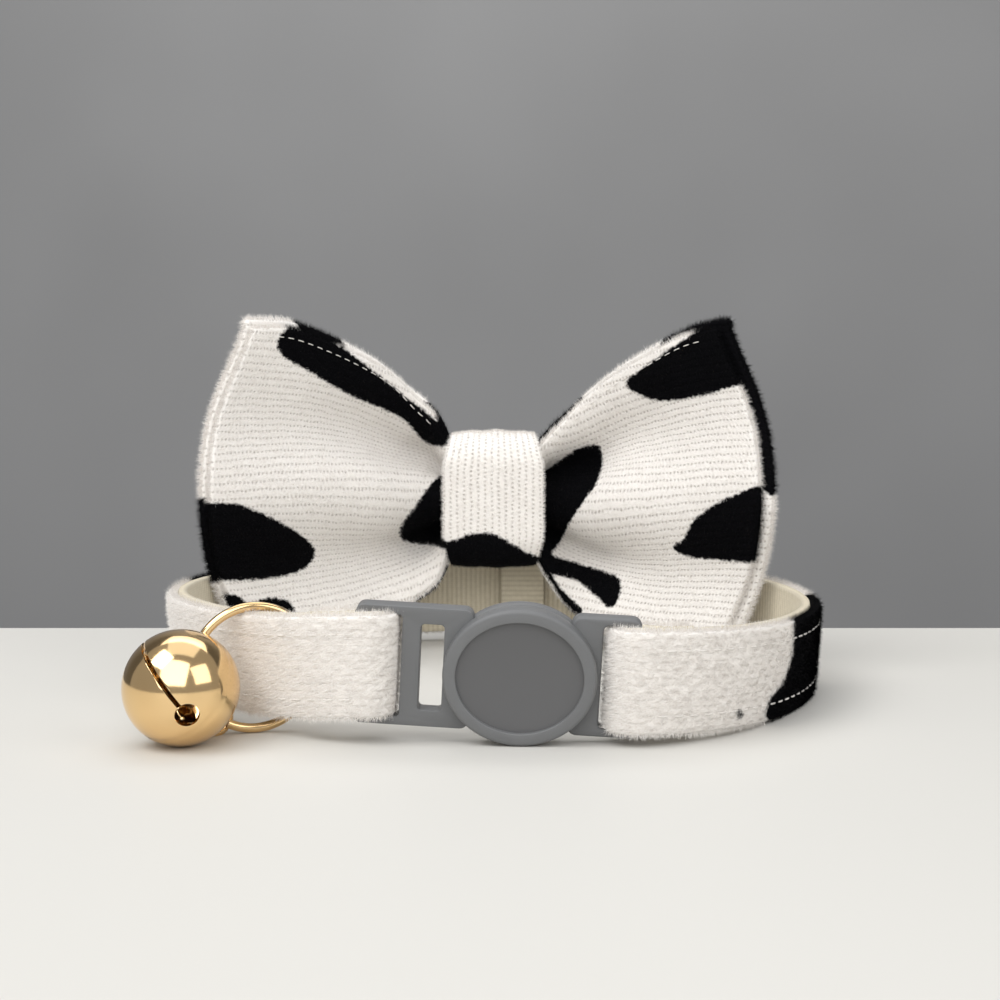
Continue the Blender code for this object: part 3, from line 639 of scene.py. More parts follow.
@dataclass(frozen=True)
class PlushFinish:
    """Polyester velour, knitted with a cut pile: a soft matte white whose rows of stitches show through, with
    painted shade in the hollows between stitches.

    The row and the stitch are the real cloth's spacings and the edge the print's blur, in mm. The depth
    is the stitches' strength, in relief and in painted shade. Tufts and fibres are counted by the metre,
    coarser than the real ones.
    """

    name: str = "plush"
    white: str = "#F2EEE9"
    shade: str = "#A59B93"
    fibre_dark: str = "#E4DED8"
    fibre_light: str = "#FAF8F5"
    black: str = "#08080A"
    black_tip: str = "#1C1C1F"
    row: float = 0.92
    stitch: float = 0.58
    depth: float = 1.0
    edge: float = 0.3
    ragged: float = 0.55
    tufts: float = 1900.0
    fibres: float = 5200.0

    def mask(self, tree: bpy.types.NodeTree) -> bpy.types.NodeSocket:
        """Tell the black patches from the white, with a ragged edge.

        Args:
            tree: The material's node tree.

        Returns:
            1 in the patches and 0 outside.
        """
        inside = add_node(tree, "Attribute", output="Fac", attribute_name="black_mm")
        place = add_node(tree, "TexCoord", output="Object")
        tufts = add_node(tree, "TexNoise", {"Vector": place, "Scale": self.tufts, "Detail": 1.0})
        offset = add_node(tree, "Math", (tufts, self.ragged, inside), operation="MULTIPLY_ADD")
        offset = add_node(tree, "Math", (offset, (self.ragged - self.edge) / 2), operation="SUBTRACT")
        return add_node(tree, "Math", (offset, self.edge), operation="DIVIDE", use_clamp=True)

    def cloth(self) -> bpy.types.Material:
        """Make the finish of the knitted ground, whose hollows lie in courses along the cloth and are painted
        darker as shade.

        Returns:
            The material.
        """
        material, tree, shader = new_material(self.name + "_ground")
        uv = add_node(tree, "UVMap")
        length = add_node(tree, "SeparateXYZ", (uv,))
        width = add_node(tree, "SeparateXYZ", (uv,), output=1)
        along = add_node(tree, "Math", (length, 2 * math.pi / self.stitch), operation="MULTIPLY")
        across = add_node(tree, "Math", (width, 2 * math.pi / self.row), operation="MULTIPLY")
        wander = add_node(tree, "TexNoise", {"Vector": uv, "Scale": 0.35, "Detail": 2.0})
        jitter = add_node(tree, "TexNoise", {"Vector": uv, "Scale": 1.3, "Detail": 2.0})
        across = add_node(tree, "Math", (wander, 3.0, across), operation="MULTIPLY_ADD")
        across = add_node(tree, "Math", (jitter, 2.6, across), operation="MULTIPLY_ADD")
        along = add_node(tree, "Math", (jitter, 4.0, along), operation="MULTIPLY_ADD")
        course = add_node(tree, "Math", (across, 2 * math.pi), operation="DIVIDE")
        course = add_node(tree, "Math", (course,), operation="FLOOR")
        along = add_node(tree, "Math", (course, 2.4, along), operation="MULTIPLY_ADD")
        waves = []
        for phase, sharpness in ((across, 4.0), (along, 1.2)):
            wave = add_node(tree, "Math", (phase,), operation="SINE")
            wave = add_node(tree, "Math", (wave, 0.5, 0.5), operation="MULTIPLY_ADD")
            waves.append(add_node(tree, "Math", (wave, sharpness), operation="POWER"))
        knit = add_node(tree, "Math", tuple(waves), operation="MULTIPLY")
        grain = add_node(tree, "TexNoise", {"Vector": uv, "Scale": 2.6, "Detail": 3.0})
        # Painted shade: the knit's hollows are coloured toward the shade colour, patchy along the grain.
        pit_shade_spread = (grain, 2.4 * self.depth, -0.55 * self.depth)
        pit_shade_spread = add_node(tree, "Math", pit_shade_spread, operation="MULTIPLY_ADD", use_clamp=True)
        pit_shade = add_node(tree, "Math", (knit, pit_shade_spread), operation="MULTIPLY")
        tones = {"Factor": pit_shade, "A": linear(self.white), "B": linear(self.shade)}
        whites = add_node(tree, "Mix", tones, **COLOUR)
        mask = self.mask(tree)
        mixed = add_node(tree, "Mix", {"Factor": mask, "A": whites, "B": linear(self.black)}, **COLOUR)
        deep = add_node(tree, "Math", (knit, 1.4), operation="MULTIPLY")
        relief = {
            "Height": add_node(tree, "Math", (grain, deep), operation="SUBTRACT"),
            "Strength": 0.6 * self.depth, "Distance": 0.25 * MM,
        }
        light = add_node(tree, "Math", (1.0, mask), operation="SUBTRACT", use_clamp=True)
        set_inputs(tree, shader, {
            "Base Color": mixed,
            "Normal": add_node(tree, "Bump", relief),
            "Sheen Weight": add_node(tree, "Math", (light, 0.25), operation="MULTIPLY"),
            "Specular IOR Level": add_node(tree, "Math", (light, 0.15, 0.05), operation="MULTIPLY_ADD"),
            "Roughness": 0.95,
        })
        return material

    def pile(self) -> bpy.types.Material:
        """Make the finish of the cut fibres, each a little lighter or darker than the next.

        Returns:
            The material.
        """
        material, tree, shader = new_material(self.name + "_pile")
        place = add_node(tree, "TexCoord", output="Object")
        speck = add_node(tree, "TexNoise", {"Vector": place, "Scale": self.fibres, "Detail": 0.0})
        speck = add_node(tree, "Math", (speck, 2.2, -0.7), operation="MULTIPLY_ADD", use_clamp=True)
        tips = add_node(tree, "Math", (speck, 3.0), operation="POWER")
        whites = {"Factor": speck, "A": linear(self.fibre_dark), "B": linear(self.fibre_light)}
        blacks = {"Factor": tips, "A": linear(self.black), "B": linear(self.black_tip)}
        mask = self.mask(tree)
        tones = {
            "Factor": mask, "A": add_node(tree, "Mix", whites, **COLOUR),
            "B": add_node(tree, "Mix", blacks, **COLOUR),
        }
        light = add_node(tree, "Math", (1.0, mask), operation="SUBTRACT", use_clamp=True)
        set_inputs(tree, shader, {
            "Base Color": add_node(tree, "Mix", tones, **COLOUR),
            "Specular IOR Level": add_node(tree, "Math", (light, 0.2, 0.05), operation="MULTIPLY_ADD"),
            "Roughness": 0.8,
        })
        return material


@dataclass(frozen=True)
class RibbedFinish:
    """Cream polyester grosgrain, with crosswise ribs in the mesh: matte, fine threads, grooves painted darker
    as shade.

    The thread and the rib are the real band's spacings in mm.
    """

    cream: str = "#E3DAC5"
    shade_and_grain: str = "#BCB199"
    thread: float = 0.28
    rib: float = 0.7

    def material(self) -> bpy.types.Material:
        """Make the finish.

        Returns:
            The material.
        """
        material, tree, shader = new_material("ribbed_lining")
        uv = add_node(tree, "UVMap")
        length = add_node(tree, "SeparateXYZ", (uv,))
        width = add_node(tree, "SeparateXYZ", (uv,), output=1)
        threads = add_node(tree, "Math", (width, 2 * math.pi / self.thread), operation="MULTIPLY")
        threads = add_node(tree, "Math", (threads,), operation="SINE")
        ribs = add_node(tree, "Math", (length, math.pi / self.rib), operation="MULTIPLY")
        ribs = add_node(tree, "Math", (ribs,), operation="SINE")
        ribs = add_node(tree, "Math", (ribs,), operation="ABSOLUTE")
        groove_shade = add_node(tree, "Math", (1.0, ribs), operation="SUBTRACT")
        grain = add_node(tree, "TexNoise", {"Vector": uv, "Scale": 1.7, "Detail": 4.0})
        tone = add_node(tree, "Math", (grain, 0.6), operation="MULTIPLY")
        tone = add_node(tree, "Math", (threads, 0.05, tone), operation="MULTIPLY_ADD")
        # Painted shade: the grooves between the ribs are coloured toward the darker tone, which the grain
        # also mixes in at random.
        tone = add_node(tree, "Math", (groove_shade, 0.45, tone), operation="MULTIPLY_ADD", use_clamp=True)
        tones = {"Factor": tone, "A": linear(self.cream), "B": linear(self.shade_and_grain)}
        set_inputs(tree, shader, {
            "Base Color": add_node(tree, "Mix", tones, **COLOUR),
            "Normal": add_node(tree, "Bump", {"Height": tone, "Strength": 0.3, "Distance": 0.08 * MM}),
            "Roughness": 0.85,
            "Sheen Weight": 0.1,
        })
        return material


@dataclass(frozen=True)
class SewingThread:
    """White spun polyester thread, with a dull sheen. Its twists are counted by the metre."""

    white: str = "#F3F0EC"
    shade: str = "#D6D1CA"
    twists: float = 6000.0

    def material(self) -> bpy.types.Material:
        """Make the finish.

        Returns:
            The material.
        """
        material, tree, shader = new_material("sewing_thread")
        place = add_node(tree, "TexCoord", output="Object")
        twist = add_node(tree, "TexNoise", {"Vector": place, "Scale": self.twists, "Detail": 1.0})
        tones = {"Factor": twist, "A": linear(self.white), "B": linear(self.shade)}
        set_inputs(tree, shader, {"Base Color": add_node(tree, "Mix", tones, **COLOUR), "Roughness": 0.6})
        return material


@dataclass(frozen=True)
class MouldedPlastic:
    """Grey acetal with a fine spark-eroded mould texture, so its highlights are broad and dull.

    The grit is in mm, and the slow change of tone is counted by the metre. The recess's floor is painted a
    darker grey.
    """

    grey: str = "#6E6F70"
    dark: str = "#646566"
    recess: str = "#59595A"
    grit: float = 0.12
    cloud: float = 160.0

    def material(self) -> bpy.types.Material:
        """Make the finish.

        Returns:
            The material.
        """
        material, tree, shader = new_material("moulded_grey_acetal")
        place = add_node(tree, "TexCoord", output="Object")
        grit = add_node(tree, "TexNoise", {"Vector": place, "Scale": 1 / (self.grit * MM), "Detail": 3.0})
        cloud = add_node(tree, "TexNoise", {"Vector": place, "Scale": self.cloud, "Detail": 3.0})
        tone = add_node(tree, "Math", (cloud, 0.6), operation="MULTIPLY")
        tone = add_node(tree, "Math", (grit, 0.4, tone), operation="MULTIPLY_ADD", use_clamp=True)
        outer = {"Factor": tone, "A": linear(self.grey), "B": linear(self.dark)}
        # The recess's floor is painted a darker grey.
        tones = {
            "Factor": add_node(tree, "Attribute", output="Fac", attribute_name="recess"),
            "A": add_node(tree, "Mix", outer, **COLOUR), "B": linear(self.recess),
        }
        set_inputs(tree, shader, {
            "Base Color": add_node(tree, "Mix", tones, **COLOUR),
            "Roughness": add_node(tree, "Math", (cloud, 0.15, 0.42), operation="MULTIPLY_ADD"),
            "Normal": add_node(tree, "Bump", {"Height": grit, "Strength": 0.25, "Distance": 0.02 * MM}),
        })
        return material


@dataclass(frozen=True)
class PolishedGold:
    """Gold plated brass, buffed to a mirror with faint polishing marks.

    The marks are in mm, and the slow change of tone is counted by the metre.
    """

    gold: str = "#F3D29E"
    worn: str = "#E9C58F"
    marks: float = 0.35
    cloud: float = 240.0

    def material(self) -> bpy.types.Material:
        """Make the finish.

        Returns:
            The material.
        """
        material, tree, shader = new_material("polished_gold_plate")
        place = add_node(tree, "TexCoord", output="Object")
        marks = {"Vector": place, "Scale": 1 / (self.marks * MM), "Detail": 4.0}
        marks = add_node(tree, "TexNoise", marks)
        cloud = add_node(tree, "TexNoise", {"Vector": place, "Scale": self.cloud, "Detail": 2.0})
        tones = {"Factor": cloud, "A": linear(self.gold), "B": linear(self.worn)}
        set_inputs(tree, shader, {
            "Base Color": add_node(tree, "Mix", tones, **COLOUR),
            "Roughness": add_node(tree, "Math", (marks, 0.08, 0.08), operation="MULTIPLY_ADD"),
            "Normal": add_node(tree, "Bump", {"Height": marks, "Strength": 0.04, "Distance": 0.02 * MM}),
            "Metallic": 1.0,
        })
        return material


@dataclass
class Bow:
    """The pleated bow: two panels sewn round the edge, pinched by a knot, in mm of the maker's frame."""

    cloth: float = 1.0
    gap: float = 0.2
    height: float = 44.8
    lift: float = 0.11
    seam: float = 1.2
    knot_seam_share: float = 0.3
    left_length: float = 42.9
    right_length: float = 40.4
    left_tip_seam: float = 0.4
    tip_curve: float = 6.5
    sweep: float = 40.0
    sweep_length: float = 9.0
    flat: float = 6.6
    puff: float = 1.3
    stations: int = 90
    points: int = 110
    shapes: dict[Side, tuple[dict[str, float], ...]] = field(default_factory=lambda: {
        Side.LEFT: (
            {"along": 0.00, "height": 0.285, "sag": 0.034},
            {"along": 0.15, "height": 0.295, "sag": 0.034},
            {"along": 0.22, "height": 0.52, "sag": 0.033},
            {"along": 0.31, "height": 0.635, "sag": 0.029},
            {"along": 0.42, "height": 0.765, "sag": 0.020},
            {"along": 0.54, "height": 0.85, "sag": 0.011},
            {"along": 0.70, "height": 0.935, "sag": 0.002},
            {"along": 0.85, "height": 1.00, "sag": 0.0},
            {"along": 1.00, "height": 1.00, "sag": 0.0},
        ),
        Side.RIGHT: (
            {"along": 0.00, "height": 0.285, "sag": 0.034},
            {"along": 0.15, "height": 0.295, "sag": 0.034},
            {"along": 0.22, "height": 0.43, "sag": 0.050},
            {"along": 0.31, "height": 0.585, "sag": 0.065},
            {"along": 0.42, "height": 0.715, "sag": 0.057},
            {"along": 0.54, "height": 0.815, "sag": 0.045},
            {"along": 0.70, "height": 0.905, "sag": 0.028},
            {"along": 0.85, "height": 0.97, "sag": 0.010},
            {"along": 1.00, "height": 1.00, "sag": 0.0},
        ),
    })
    pleats: tuple[dict[str, float], ...] = (
        {"along": 0.00, "pleat": 92.0, "puff": 0.0},
        {"along": 0.15, "pleat": 92.0, "puff": 0.0},
        {"along": 0.22, "pleat": 72.0, "puff": 0.2},
        {"along": 0.31, "pleat": 58.0, "puff": 0.6},
        {"along": 0.42, "pleat": 45.0, "puff": 1.0},
        {"along": 0.54, "pleat": 34.0, "puff": 1.0},
        {"along": 0.70, "pleat": 23.0, "puff": 0.8},
        {"along": 0.85, "pleat": 16.0, "puff": 0.4},
        {"along": 1.00, "pleat": 11.0, "puff": 0.0},
    )

    def length(self, side: Side) -> float:
        """Give a wing's length from the middle of the knot."""
        return self.left_length if side is Side.LEFT else self.right_length

    def section(
        self, side: Side, along: float, past_tip: float, is_front: bool,
    ) -> tuple[np.ndarray, np.ndarray]:
        """Work out the outer face of one section across a panel.

        Args:
            side: The wing.
            along: The share of the wing's length.
            past_tip: The length past the wing's end.
            is_front: Whether it is the front panel.

        Returns:
            The section's places and their length across the cloth.
        """
        wing = self.shapes[side]
        share = float(read_table(wing, "along", "height", along))
        swing = math.radians(float(read_table(self.pleats, "along", "pleat", along)))
        full = float(read_table(self.pleats, "along", "puff", along)) * self.puff
        half = (self.height / 2 - self.seam) * share
        steps = np.linspace(0.0, 1.6, 321)
        turn = swing * np.sin(2 * math.pi * steps)
        rise = np.concatenate([[0.0], np.cumsum((np.cos(turn[1:]) + np.cos(turn[:-1])) / 2 * np.diff(steps))])
        depth = np.concatenate(
            [[0.0], np.cumsum((np.sin(turn[1:]) + np.sin(turn[:-1])) / 2 * np.diff(steps))],
        )
        unit = np.interp(1.0, steps, rise)
        cloth_length = half / unit
        seam = 0.0 if is_front else self.seam * (
            self.knot_seam_share + (1 - self.knot_seam_share) * float(smoothstep(along / 0.3)))
        edge = 1.0 + seam / cloth_length
        across = np.linspace(-edge, edge, self.points + 1)
        size = np.abs(across)
        sign = np.where(across < 0, -1.0, 1.0)
        direction = swing * np.sin(2 * math.pi * size)
        puff = full * np.maximum(1.0 - across ** 2, 0.0)
        away = (self.gap / 2 + self.cloth + puff / 2) * (1.0 if is_front else -1.0)
        centered = np.interp(0.5, steps, depth) / unit / 2 * (1.0 - share)
        deep = (np.interp(size, steps, depth) / unit - centered) * half - np.cos(direction) * away
        high = sign * np.interp(size, steps, rise) / unit * half + sign * np.sin(direction) * away
        length = self.length(side)
        soft = 0.35
        curve = (np.hypot(np.clip(across, -1, 1), soft) - soft) / (math.hypot(1.0, soft) - soft)
        distance = along * (length - self.tip_curve * curve) + past_tip
        line = np.linspace(0.0, length + 4.0, 400)
        heading = math.radians(self.sweep) * smoothstep((line - self.flat) / self.sweep_length)
        step = line[1] - line[0]
        beside = np.concatenate([[0.0], np.cumsum((np.cos(heading[1:]) + np.cos(heading[:-1])) / 2 * step)])
        forward = np.concatenate([[0.0], np.cumsum((np.sin(heading[1:]) + np.sin(heading[:-1])) / 2 * step)])
        angle = np.interp(distance, line, heading)
        middle = self.lift + self.height * (0.5 - float(read_table(wing, "along", "sag", along)))
        places = np.stack([
            KNOT_MIDDLE[0] + side.value * (np.interp(distance, line, beside) + np.sin(angle) * deep),
            KNOT_MIDDLE[1] - np.interp(distance, line, forward) + np.cos(angle) * deep,
            middle + high,
        ], axis=-1)
        return places, across * cloth_length

    def panel(self, is_front: bool, patches: "CowPrint") -> Cloth:
        """Work out a whole panel from the left tip to the right.

        Args:
            is_front: Whether it is the front panel.
            patches: The print.

        Returns:
            The cloth.
        """
        shares = np.linspace(1.0, 0.0, self.stations + 1)[:-1]
        rows = [(Side.LEFT, share, 0.0) for share in shares]
        rows += [(Side.RIGHT, 0.0, 0.0)] + [(Side.RIGHT, share, 0.0) for share in shares[::-1]]
        if not is_front:
            rows.insert(0, (Side.LEFT, 1.0, self.left_tip_seam))
            rows += [(Side.RIGHT, 1.0, self.seam / 2), (Side.RIGHT, 1.0, self.seam)]
        sections = [self.section(*row, is_front) for row in rows]
        places = np.stack([places for places, _ in sections])
        across = np.stack([lengths for _, lengths in sections])
        lengths = [side.value * (share * self.length(side) + past) for side, share, past in rows]
        along = np.repeat(np.array(lengths)[:, None], self.points + 1, axis=1)
        places = places + self.wrinkles(along, across)[..., None] * np.array([0.0, -1.0, 0.0])
        return Cloth(places, along, across, patches.on_photo(places), flipped=not is_front)

    @staticmethod
    def wrinkles(along: np.ndarray, across: np.ndarray) -> np.ndarray:
        """Give the small soft waves of the cloth in mm, longer along the wing than across it."""
        fade = smoothstep((np.abs(along) - 9.0) / 10.0)
        wave = np.sin(along * 0.31 + across * 0.22 + 1.1) + 0.7 * np.sin(along * 0.17 - across * 0.43 + 0.4)
        return 0.16 * fade * wave


@dataclass
class CowPrint:
    """Black patches, as outlines of a few points in pixels of the photo's frame."""

    outlines: dict[str, tuple[tuple[float, float], ...]]
    pixels_per_mm: float = 8.1
    grow: float = 0.0

    def on_photo(self, places: np.ndarray) -> np.ndarray:
        """Give how far inside a patch places lie, seen from the photo's camera.

        Args:
            places: The places in mm, in a lattice.

        Returns:
            The distance in mm, negative outside.
        """
        spots = CAMERA.pixels(places)
        inside = np.full(places.shape[:-1], -50.0)
        for corners in self.outlines.values():
            inside = np.maximum(inside, distance_inside(spots, round_outline(corners)) / self.pixels_per_mm)
        return inside + self.grow


BOW_FRONT_PRINT = CowPrint({
    "right_underside": (
        (528, 555), (541, 559), (549, 570), (561, 588), (582, 610), (572, 618), (545, 597), (528, 577),
    ),
    "top_left_band": (
        (277, 345), (284, 331), (300, 328), (335, 343), (375, 372), (410, 400), (447, 428), (462, 440),
        (445, 446), (424, 441), (400, 417), (350, 395), (310, 372), (285, 358),
    ),
    "left_tip": (
        (180, 503), (205, 503), (240, 505), (285, 525), (312, 545), (312, 560), (295, 573), (262, 579),
        (215, 581), (180, 580),
    ),
    "left_of_knot": (
        (460, 468), (445, 473), (430, 485), (412, 510), (400, 528), (404, 541), (430, 545), (460, 545),
    ),
    "top_right_corner": (
        (625, 383), (640, 370), (668, 350), (700, 330), (735, 315), (755, 350), (755, 378), (720, 390),
        (695, 397), (662, 401), (640, 395),
    ),
    "right_of_knot": (
        (520, 480), (545, 470), (575, 450), (596, 445), (603, 458), (598, 480), (585, 500), (570, 522),
        (558, 545), (540, 562), (520, 560),
    ),
    "below_right_pleat": (
        (530, 550), (560, 558), (590, 567), (614, 575), (621, 586), (617, 602), (609, 608), (598, 598),
        (575, 580), (540, 570),
    ),
    "right_tip": (
        (673, 548), (684, 538), (696, 518), (728, 498), (775, 482), (800, 500), (795, 560), (768, 563),
        (730, 561), (690, 557),
    ),
    "right_foot": ((735, 625), (750, 598), (768, 586), (800, 590), (800, 640), (750, 650)),
    "left_foot": ((195, 625), (205, 600), (222, 593), (244, 600), (248, 625)),
    "middle_foot": ((246, 630), (254, 604), (272, 598), (293, 606), (298, 640)),
})

BOW_BACK_PRINT = CowPrint({
    "left_edge": ((180, 502), (200, 498), (216, 500), (228, 540), (226, 576), (206, 582), (180, 580)),
    "top_left_start": ((290, 318), (300, 318), (330, 333), (340, 350), (315, 345), (295, 330)),
    "top_left_end": ((420, 405), (440, 415), (470, 445), (450, 470), (425, 445)),
    "top_right_start": ((530, 455), (538, 430), (560, 408), (580, 395), (590, 410), (560, 450)),
    "right_tip": (
        (700, 300), (735, 310), (760, 350), (785, 420), (795, 490), (770, 492), (740, 450), (700, 400),
        (660, 380), (670, 330),
    ),
    "low_left": ((400, 620), (420, 590), (450, 560), (470, 590), (430, 625)),
    "low_right": ((515, 560), (545, 585), (580, 612), (600, 640), (560, 630), (520, 590)),
    "back_left_wing": ((230, 420), (270, 400), (320, 430), (330, 490), (280, 520), (235, 480)),
    "back_right_wing": ((620, 470), (660, 450), (700, 480), (690, 560), (640, 590), (610, 540)),
    "back_left_low": ((250, 560), (300, 550), (350, 580), (330, 620), (260, 620)),
})

KNOT_PRINT = CowPrint({
    "foot": (
        (430, 543), (450, 541), (470, 534), (490, 533), (508, 541), (525, 551), (545, 562), (548, 590),
        (430, 590),
    ),
})


@dataclass
class KnotBand:
    """The band round the bow's middle, in mm of the maker's frame."""

    width: float = 13.2
    height: float = 17.7
    depth: float = 12.6
    cloth: float = 1.4
    corner: float = 4.2
    waist: float = 0.86
    bulge: float = 0.3
    steps: int = 150
    points: int = 44

    def cloth_lattice(self) -> Cloth:
        """Work out the band's outer face as a closed loop of rows.

        Returns:
            The cloth.
        """
        flat = np.array([self.depth / 2 - self.corner, self.height / 2 - self.corner])
        lengths = [2 * flat[1], self.corner * math.pi / 2, 2 * flat[0], self.corner * math.pi / 2] * 2
        total = sum(lengths)
        spots = np.linspace(0.0, total, self.steps + 1)
        loop = rounded_rectangle(self.depth, self.height, self.corner, spots)
        across = np.linspace(-1.0, 1.0, self.points + 1)
        up = np.abs(loop[:, 3])
        half = self.width / 2 * (1.0 - (1.0 - self.waist) * up)
        crease = 0.12 * np.sin(across * 9.0 + 0.8) * (1 - across ** 2)
        swell = self.bulge * (1.0 - across ** 2)
        out = swell[None, :] + crease[None, :] * (0.4 + 0.6 * np.sin(spots * 0.32)[:, None] ** 2)
        places = np.empty((len(spots), len(across), 3))
        places[..., 0] = KNOT_MIDDLE[0] + half[:, None] * across[None, :]
        places[..., 1] = KNOT_MIDDLE[1] + loop[:, 0:1] + loop[:, 2:3] * out
        places[..., 2] = KNOT_MIDDLE[2] + loop[:, 1:2] + loop[:, 3:4] * out
        places[-1] = places[0]
        along = np.repeat(spots[:, None], len(across), axis=1)
        wide = np.repeat((across * self.width / 2)[None, :], len(spots), axis=0)
        black = KNOT_PRINT.on_photo(places)
        return Cloth(places, along, wide, black)


def rounded_rectangle(width: float, height: float, corner: float, spots: np.ndarray) -> np.ndarray:
    """Walk round a rectangle with round corners, from the middle of its right side upwards.

    Args:
        width: Its size along the first axis.
        height: Its size along the second axis.
        corner: The corners' radius.
        spots: Lengths along the walk.

    Returns:
        Rows of place and outward direction, two numbers each.
    """
    long = height - 2 * corner
    short = width - 2 * corner
    arc = corner * math.pi / 2
    rows = []
    for spot in spots:
        rest = (spot + long / 2) % (2 * (long + short) + 4 * arc)
        angle = 0.0
        center = Vector((width / 2 - corner, -long / 2))
        for length in (long, short, long, short):
            forward = Vector((-math.sin(angle), math.cos(angle)))
            out = Vector((math.cos(angle), math.sin(angle)))
            if rest <= length:
                place = center + forward * rest + out * corner
                rows.append((*place, *out))
                break
            rest -= length
            center = center + forward * length
            if rest <= arc:
                out = Vector((math.cos(angle + rest / corner), math.sin(angle + rest / corner)))
                rows.append((*(center + out * corner), *out))
                break
            rest -= arc
            angle += math.pi / 2
    return np.array(rows)


@dataclass
class Buckle:
    """The side-release buckle, in mm, in its own frame with X along it, Y to the back and Z up."""

    disc_width: float = 15.8
    disc_height: float = 14.4
    front: float = 3.0
    back: float = 1.2
    rim: float = 1.35
    recess: float = 0.5
    middle_x: float = 2.1
    lean: float = 7.0
    yaw: float = 2.5
    housing_roll: float = 3.0
    latch_roll: float = 3.3
    thickness: float = 2.0
    strap_room: float = 10.9
    rail: float = 0.9
    latch_left: float = -17.2
    latch_bar_x: float = -15.9
    latch_bar: float = 1.8
    latch_slot: float = 3.1
    empty_slot_left: float = -10.4
    latch_empty_slot: float = 2.45
    empty_slot_half: float = 4.6
    housing_bar_x: float = 12.0
    housing_right: float = 12.25
    housing_slot_left: float = 8.3
    housing_bar: float = 1.5
    loop_front: float = -35.4
    touch: float = 0.3

    def matrix(self, roll: float) -> Matrix:
        """Give the place of a half of the buckle.

        Args:
            roll: The half's turn in its own plane, in degrees.

        Returns:
            The place in the maker's frame, in mm.
        """
        lean = math.radians(self.lean)
        middle = Vector((
            self.middle_x, self.loop_front + self.touch,
            self.disc_height / 2 * math.cos(lean) + self.front * math.sin(lean),
        ))
        return (
            Matrix.Translation(middle) @ Matrix.Rotation(math.radians(-self.yaw), 4, "Z")
            @ Matrix.Rotation(lean, 4, "X") @ Matrix.Rotation(math.radians(roll), 4, "Y")
        )

    def place(self, piece: bpy.types.Object, roll: float) -> None:
        """Move a piece's mesh, modelled in mm, to its place on the collar."""
        to_frame = Matrix.Translation(Vector(SHIFT) * MM) @ Matrix.Scale(MM, 4)
        piece.data.transform(to_frame @ self.matrix(roll))

    def oval(
        self, name: str, width: float, height: float, front: float, back: float, round_edge: float,
    ) -> bpy.types.Object:
        """Model a flat oval disc with rounded edges.

        Args:
            name: The piece's name.
            width: Its width.
            height: Its height.
            front: Where its front face lies.
            back: Where its back face lies.
            round_edge: The radius of its edges.

        Returns:
            The disc, in mm at the origin.
        """
        deselect_all()
        bpy.ops.mesh.primitive_cylinder_add(
            vertices=96, radius=0.5, depth=1.0, rotation=(math.radians(90.0), 0, 0),
        )
        piece = bpy.context.object
        piece.name = name
        bpy.ops.object.transform_apply(rotation=True)
        sized = Matrix.Diagonal((width, back - front, height, 1.0))
        piece.data.transform(Matrix.Translation((0, (front + back) / 2, 0)) @ sized)
        bevel = piece.modifiers.new("round", "BEVEL")
        bevel.width = round_edge
        bevel.segments = 4
        bevel.limit_method = "ANGLE"
        bevel.angle_limit = math.radians(50.0)
        apply_modifiers(piece)
        return piece

    def block(
        self, name: str, ends: tuple[float, float], half: float, depth: float, corner: float,
    ) -> bpy.types.Object:
        """Model an upright block with round corners, seen from the front.

        Args:
            name: The piece's name.
            ends: Its left and right ends.
            half: Half its height.
            depth: Its depth, half of it on each side of the strap's plane.
            corner: The corners' radius.

        Returns:
            The block, in mm at the origin.
        """
        left, right = ends
        deselect_all()
        bpy.ops.mesh.primitive_cube_add(size=1.0)
        piece = bpy.context.object
        piece.name = name
        sized = Matrix.Diagonal((right - left, depth, 2 * half, 1.0))
        piece.data.transform(Matrix.Translation(((left + right) / 2, 0, 0)) @ sized)
        weights = piece.data.attributes.new("bevel_weight_edge", "FLOAT", "EDGE")
        for edge in piece.data.edges:
            first, last = (piece.data.vertices[index].co for index in edge.vertices)
            weights.data[edge.index].value = float(abs(first.y - last.y) > depth / 2)
        bevel = piece.modifiers.new("corners", "BEVEL")
        bevel.width = corner
        bevel.segments = 6
        bevel.limit_method = "WEIGHT"
        apply_modifiers(piece)
        piece.data.attributes.remove(piece.data.attributes["bevel_weight_edge"])
        return piece

    def build(self, plastic: bpy.types.Material) -> None:
        """Model both halves and hand them over.

        Args:
            plastic: Their finish.
        """
        self.build_housing(plastic)
        self.build_latch(plastic)

    def build_housing(self, plastic: bpy.types.Material) -> None:
        """Model the round half: a front shell with its recess, a back shell and the strap frame.

        Args:
            plastic: The finish.
        """
        split = -0.55
        front = self.oval("disc_front", self.disc_width, self.disc_height, -self.front, split - 0.06, 0.42)
        cut = self.oval(
            "recess_cut", self.disc_width - 2 * self.rim, self.disc_height - 2 * self.rim,
            -self.front - 1.0, -self.front + self.recess, 0.0001)
        cut_in(front, cut, "DIFFERENCE")
        soften(front, 0.12, 3)
        floor = front.data.attributes.new("recess", "FLOAT", "FACE")
        for face in front.data.polygons:
            floor.data[face.index].value = float(abs(face.center.y + self.front - self.recess) < 0.02)
        back = self.oval("disc_back", self.disc_width, self.disc_height, split + 0.06, self.back, 0.42)
        core = self.oval(
            "disc_core", self.disc_width - 0.3, self.disc_height - 0.3, split - 0.4, split + 0.4, 0.05,
        )
        half = self.strap_room / 2 + self.rail
        right = self.housing_right
        frame_plate = self.block("housing_frame", (5.0, right), half, self.thickness, 1.1)
        slot = self.block(
            "slot_cut", (self.housing_slot_left, right - self.housing_bar), self.strap_room / 2, 6.0, 0.5,
        )
        cut_in(frame_plate, slot, "DIFFERENCE")
        soften(frame_plate, 0.28, 3)
        join([front, back, core, frame_plate], "buckle_housing_shell")
        self.place(front, self.housing_roll)
        finish_hard(front, plastic)
        hand_over(front, "plastic", "buckle_housing")

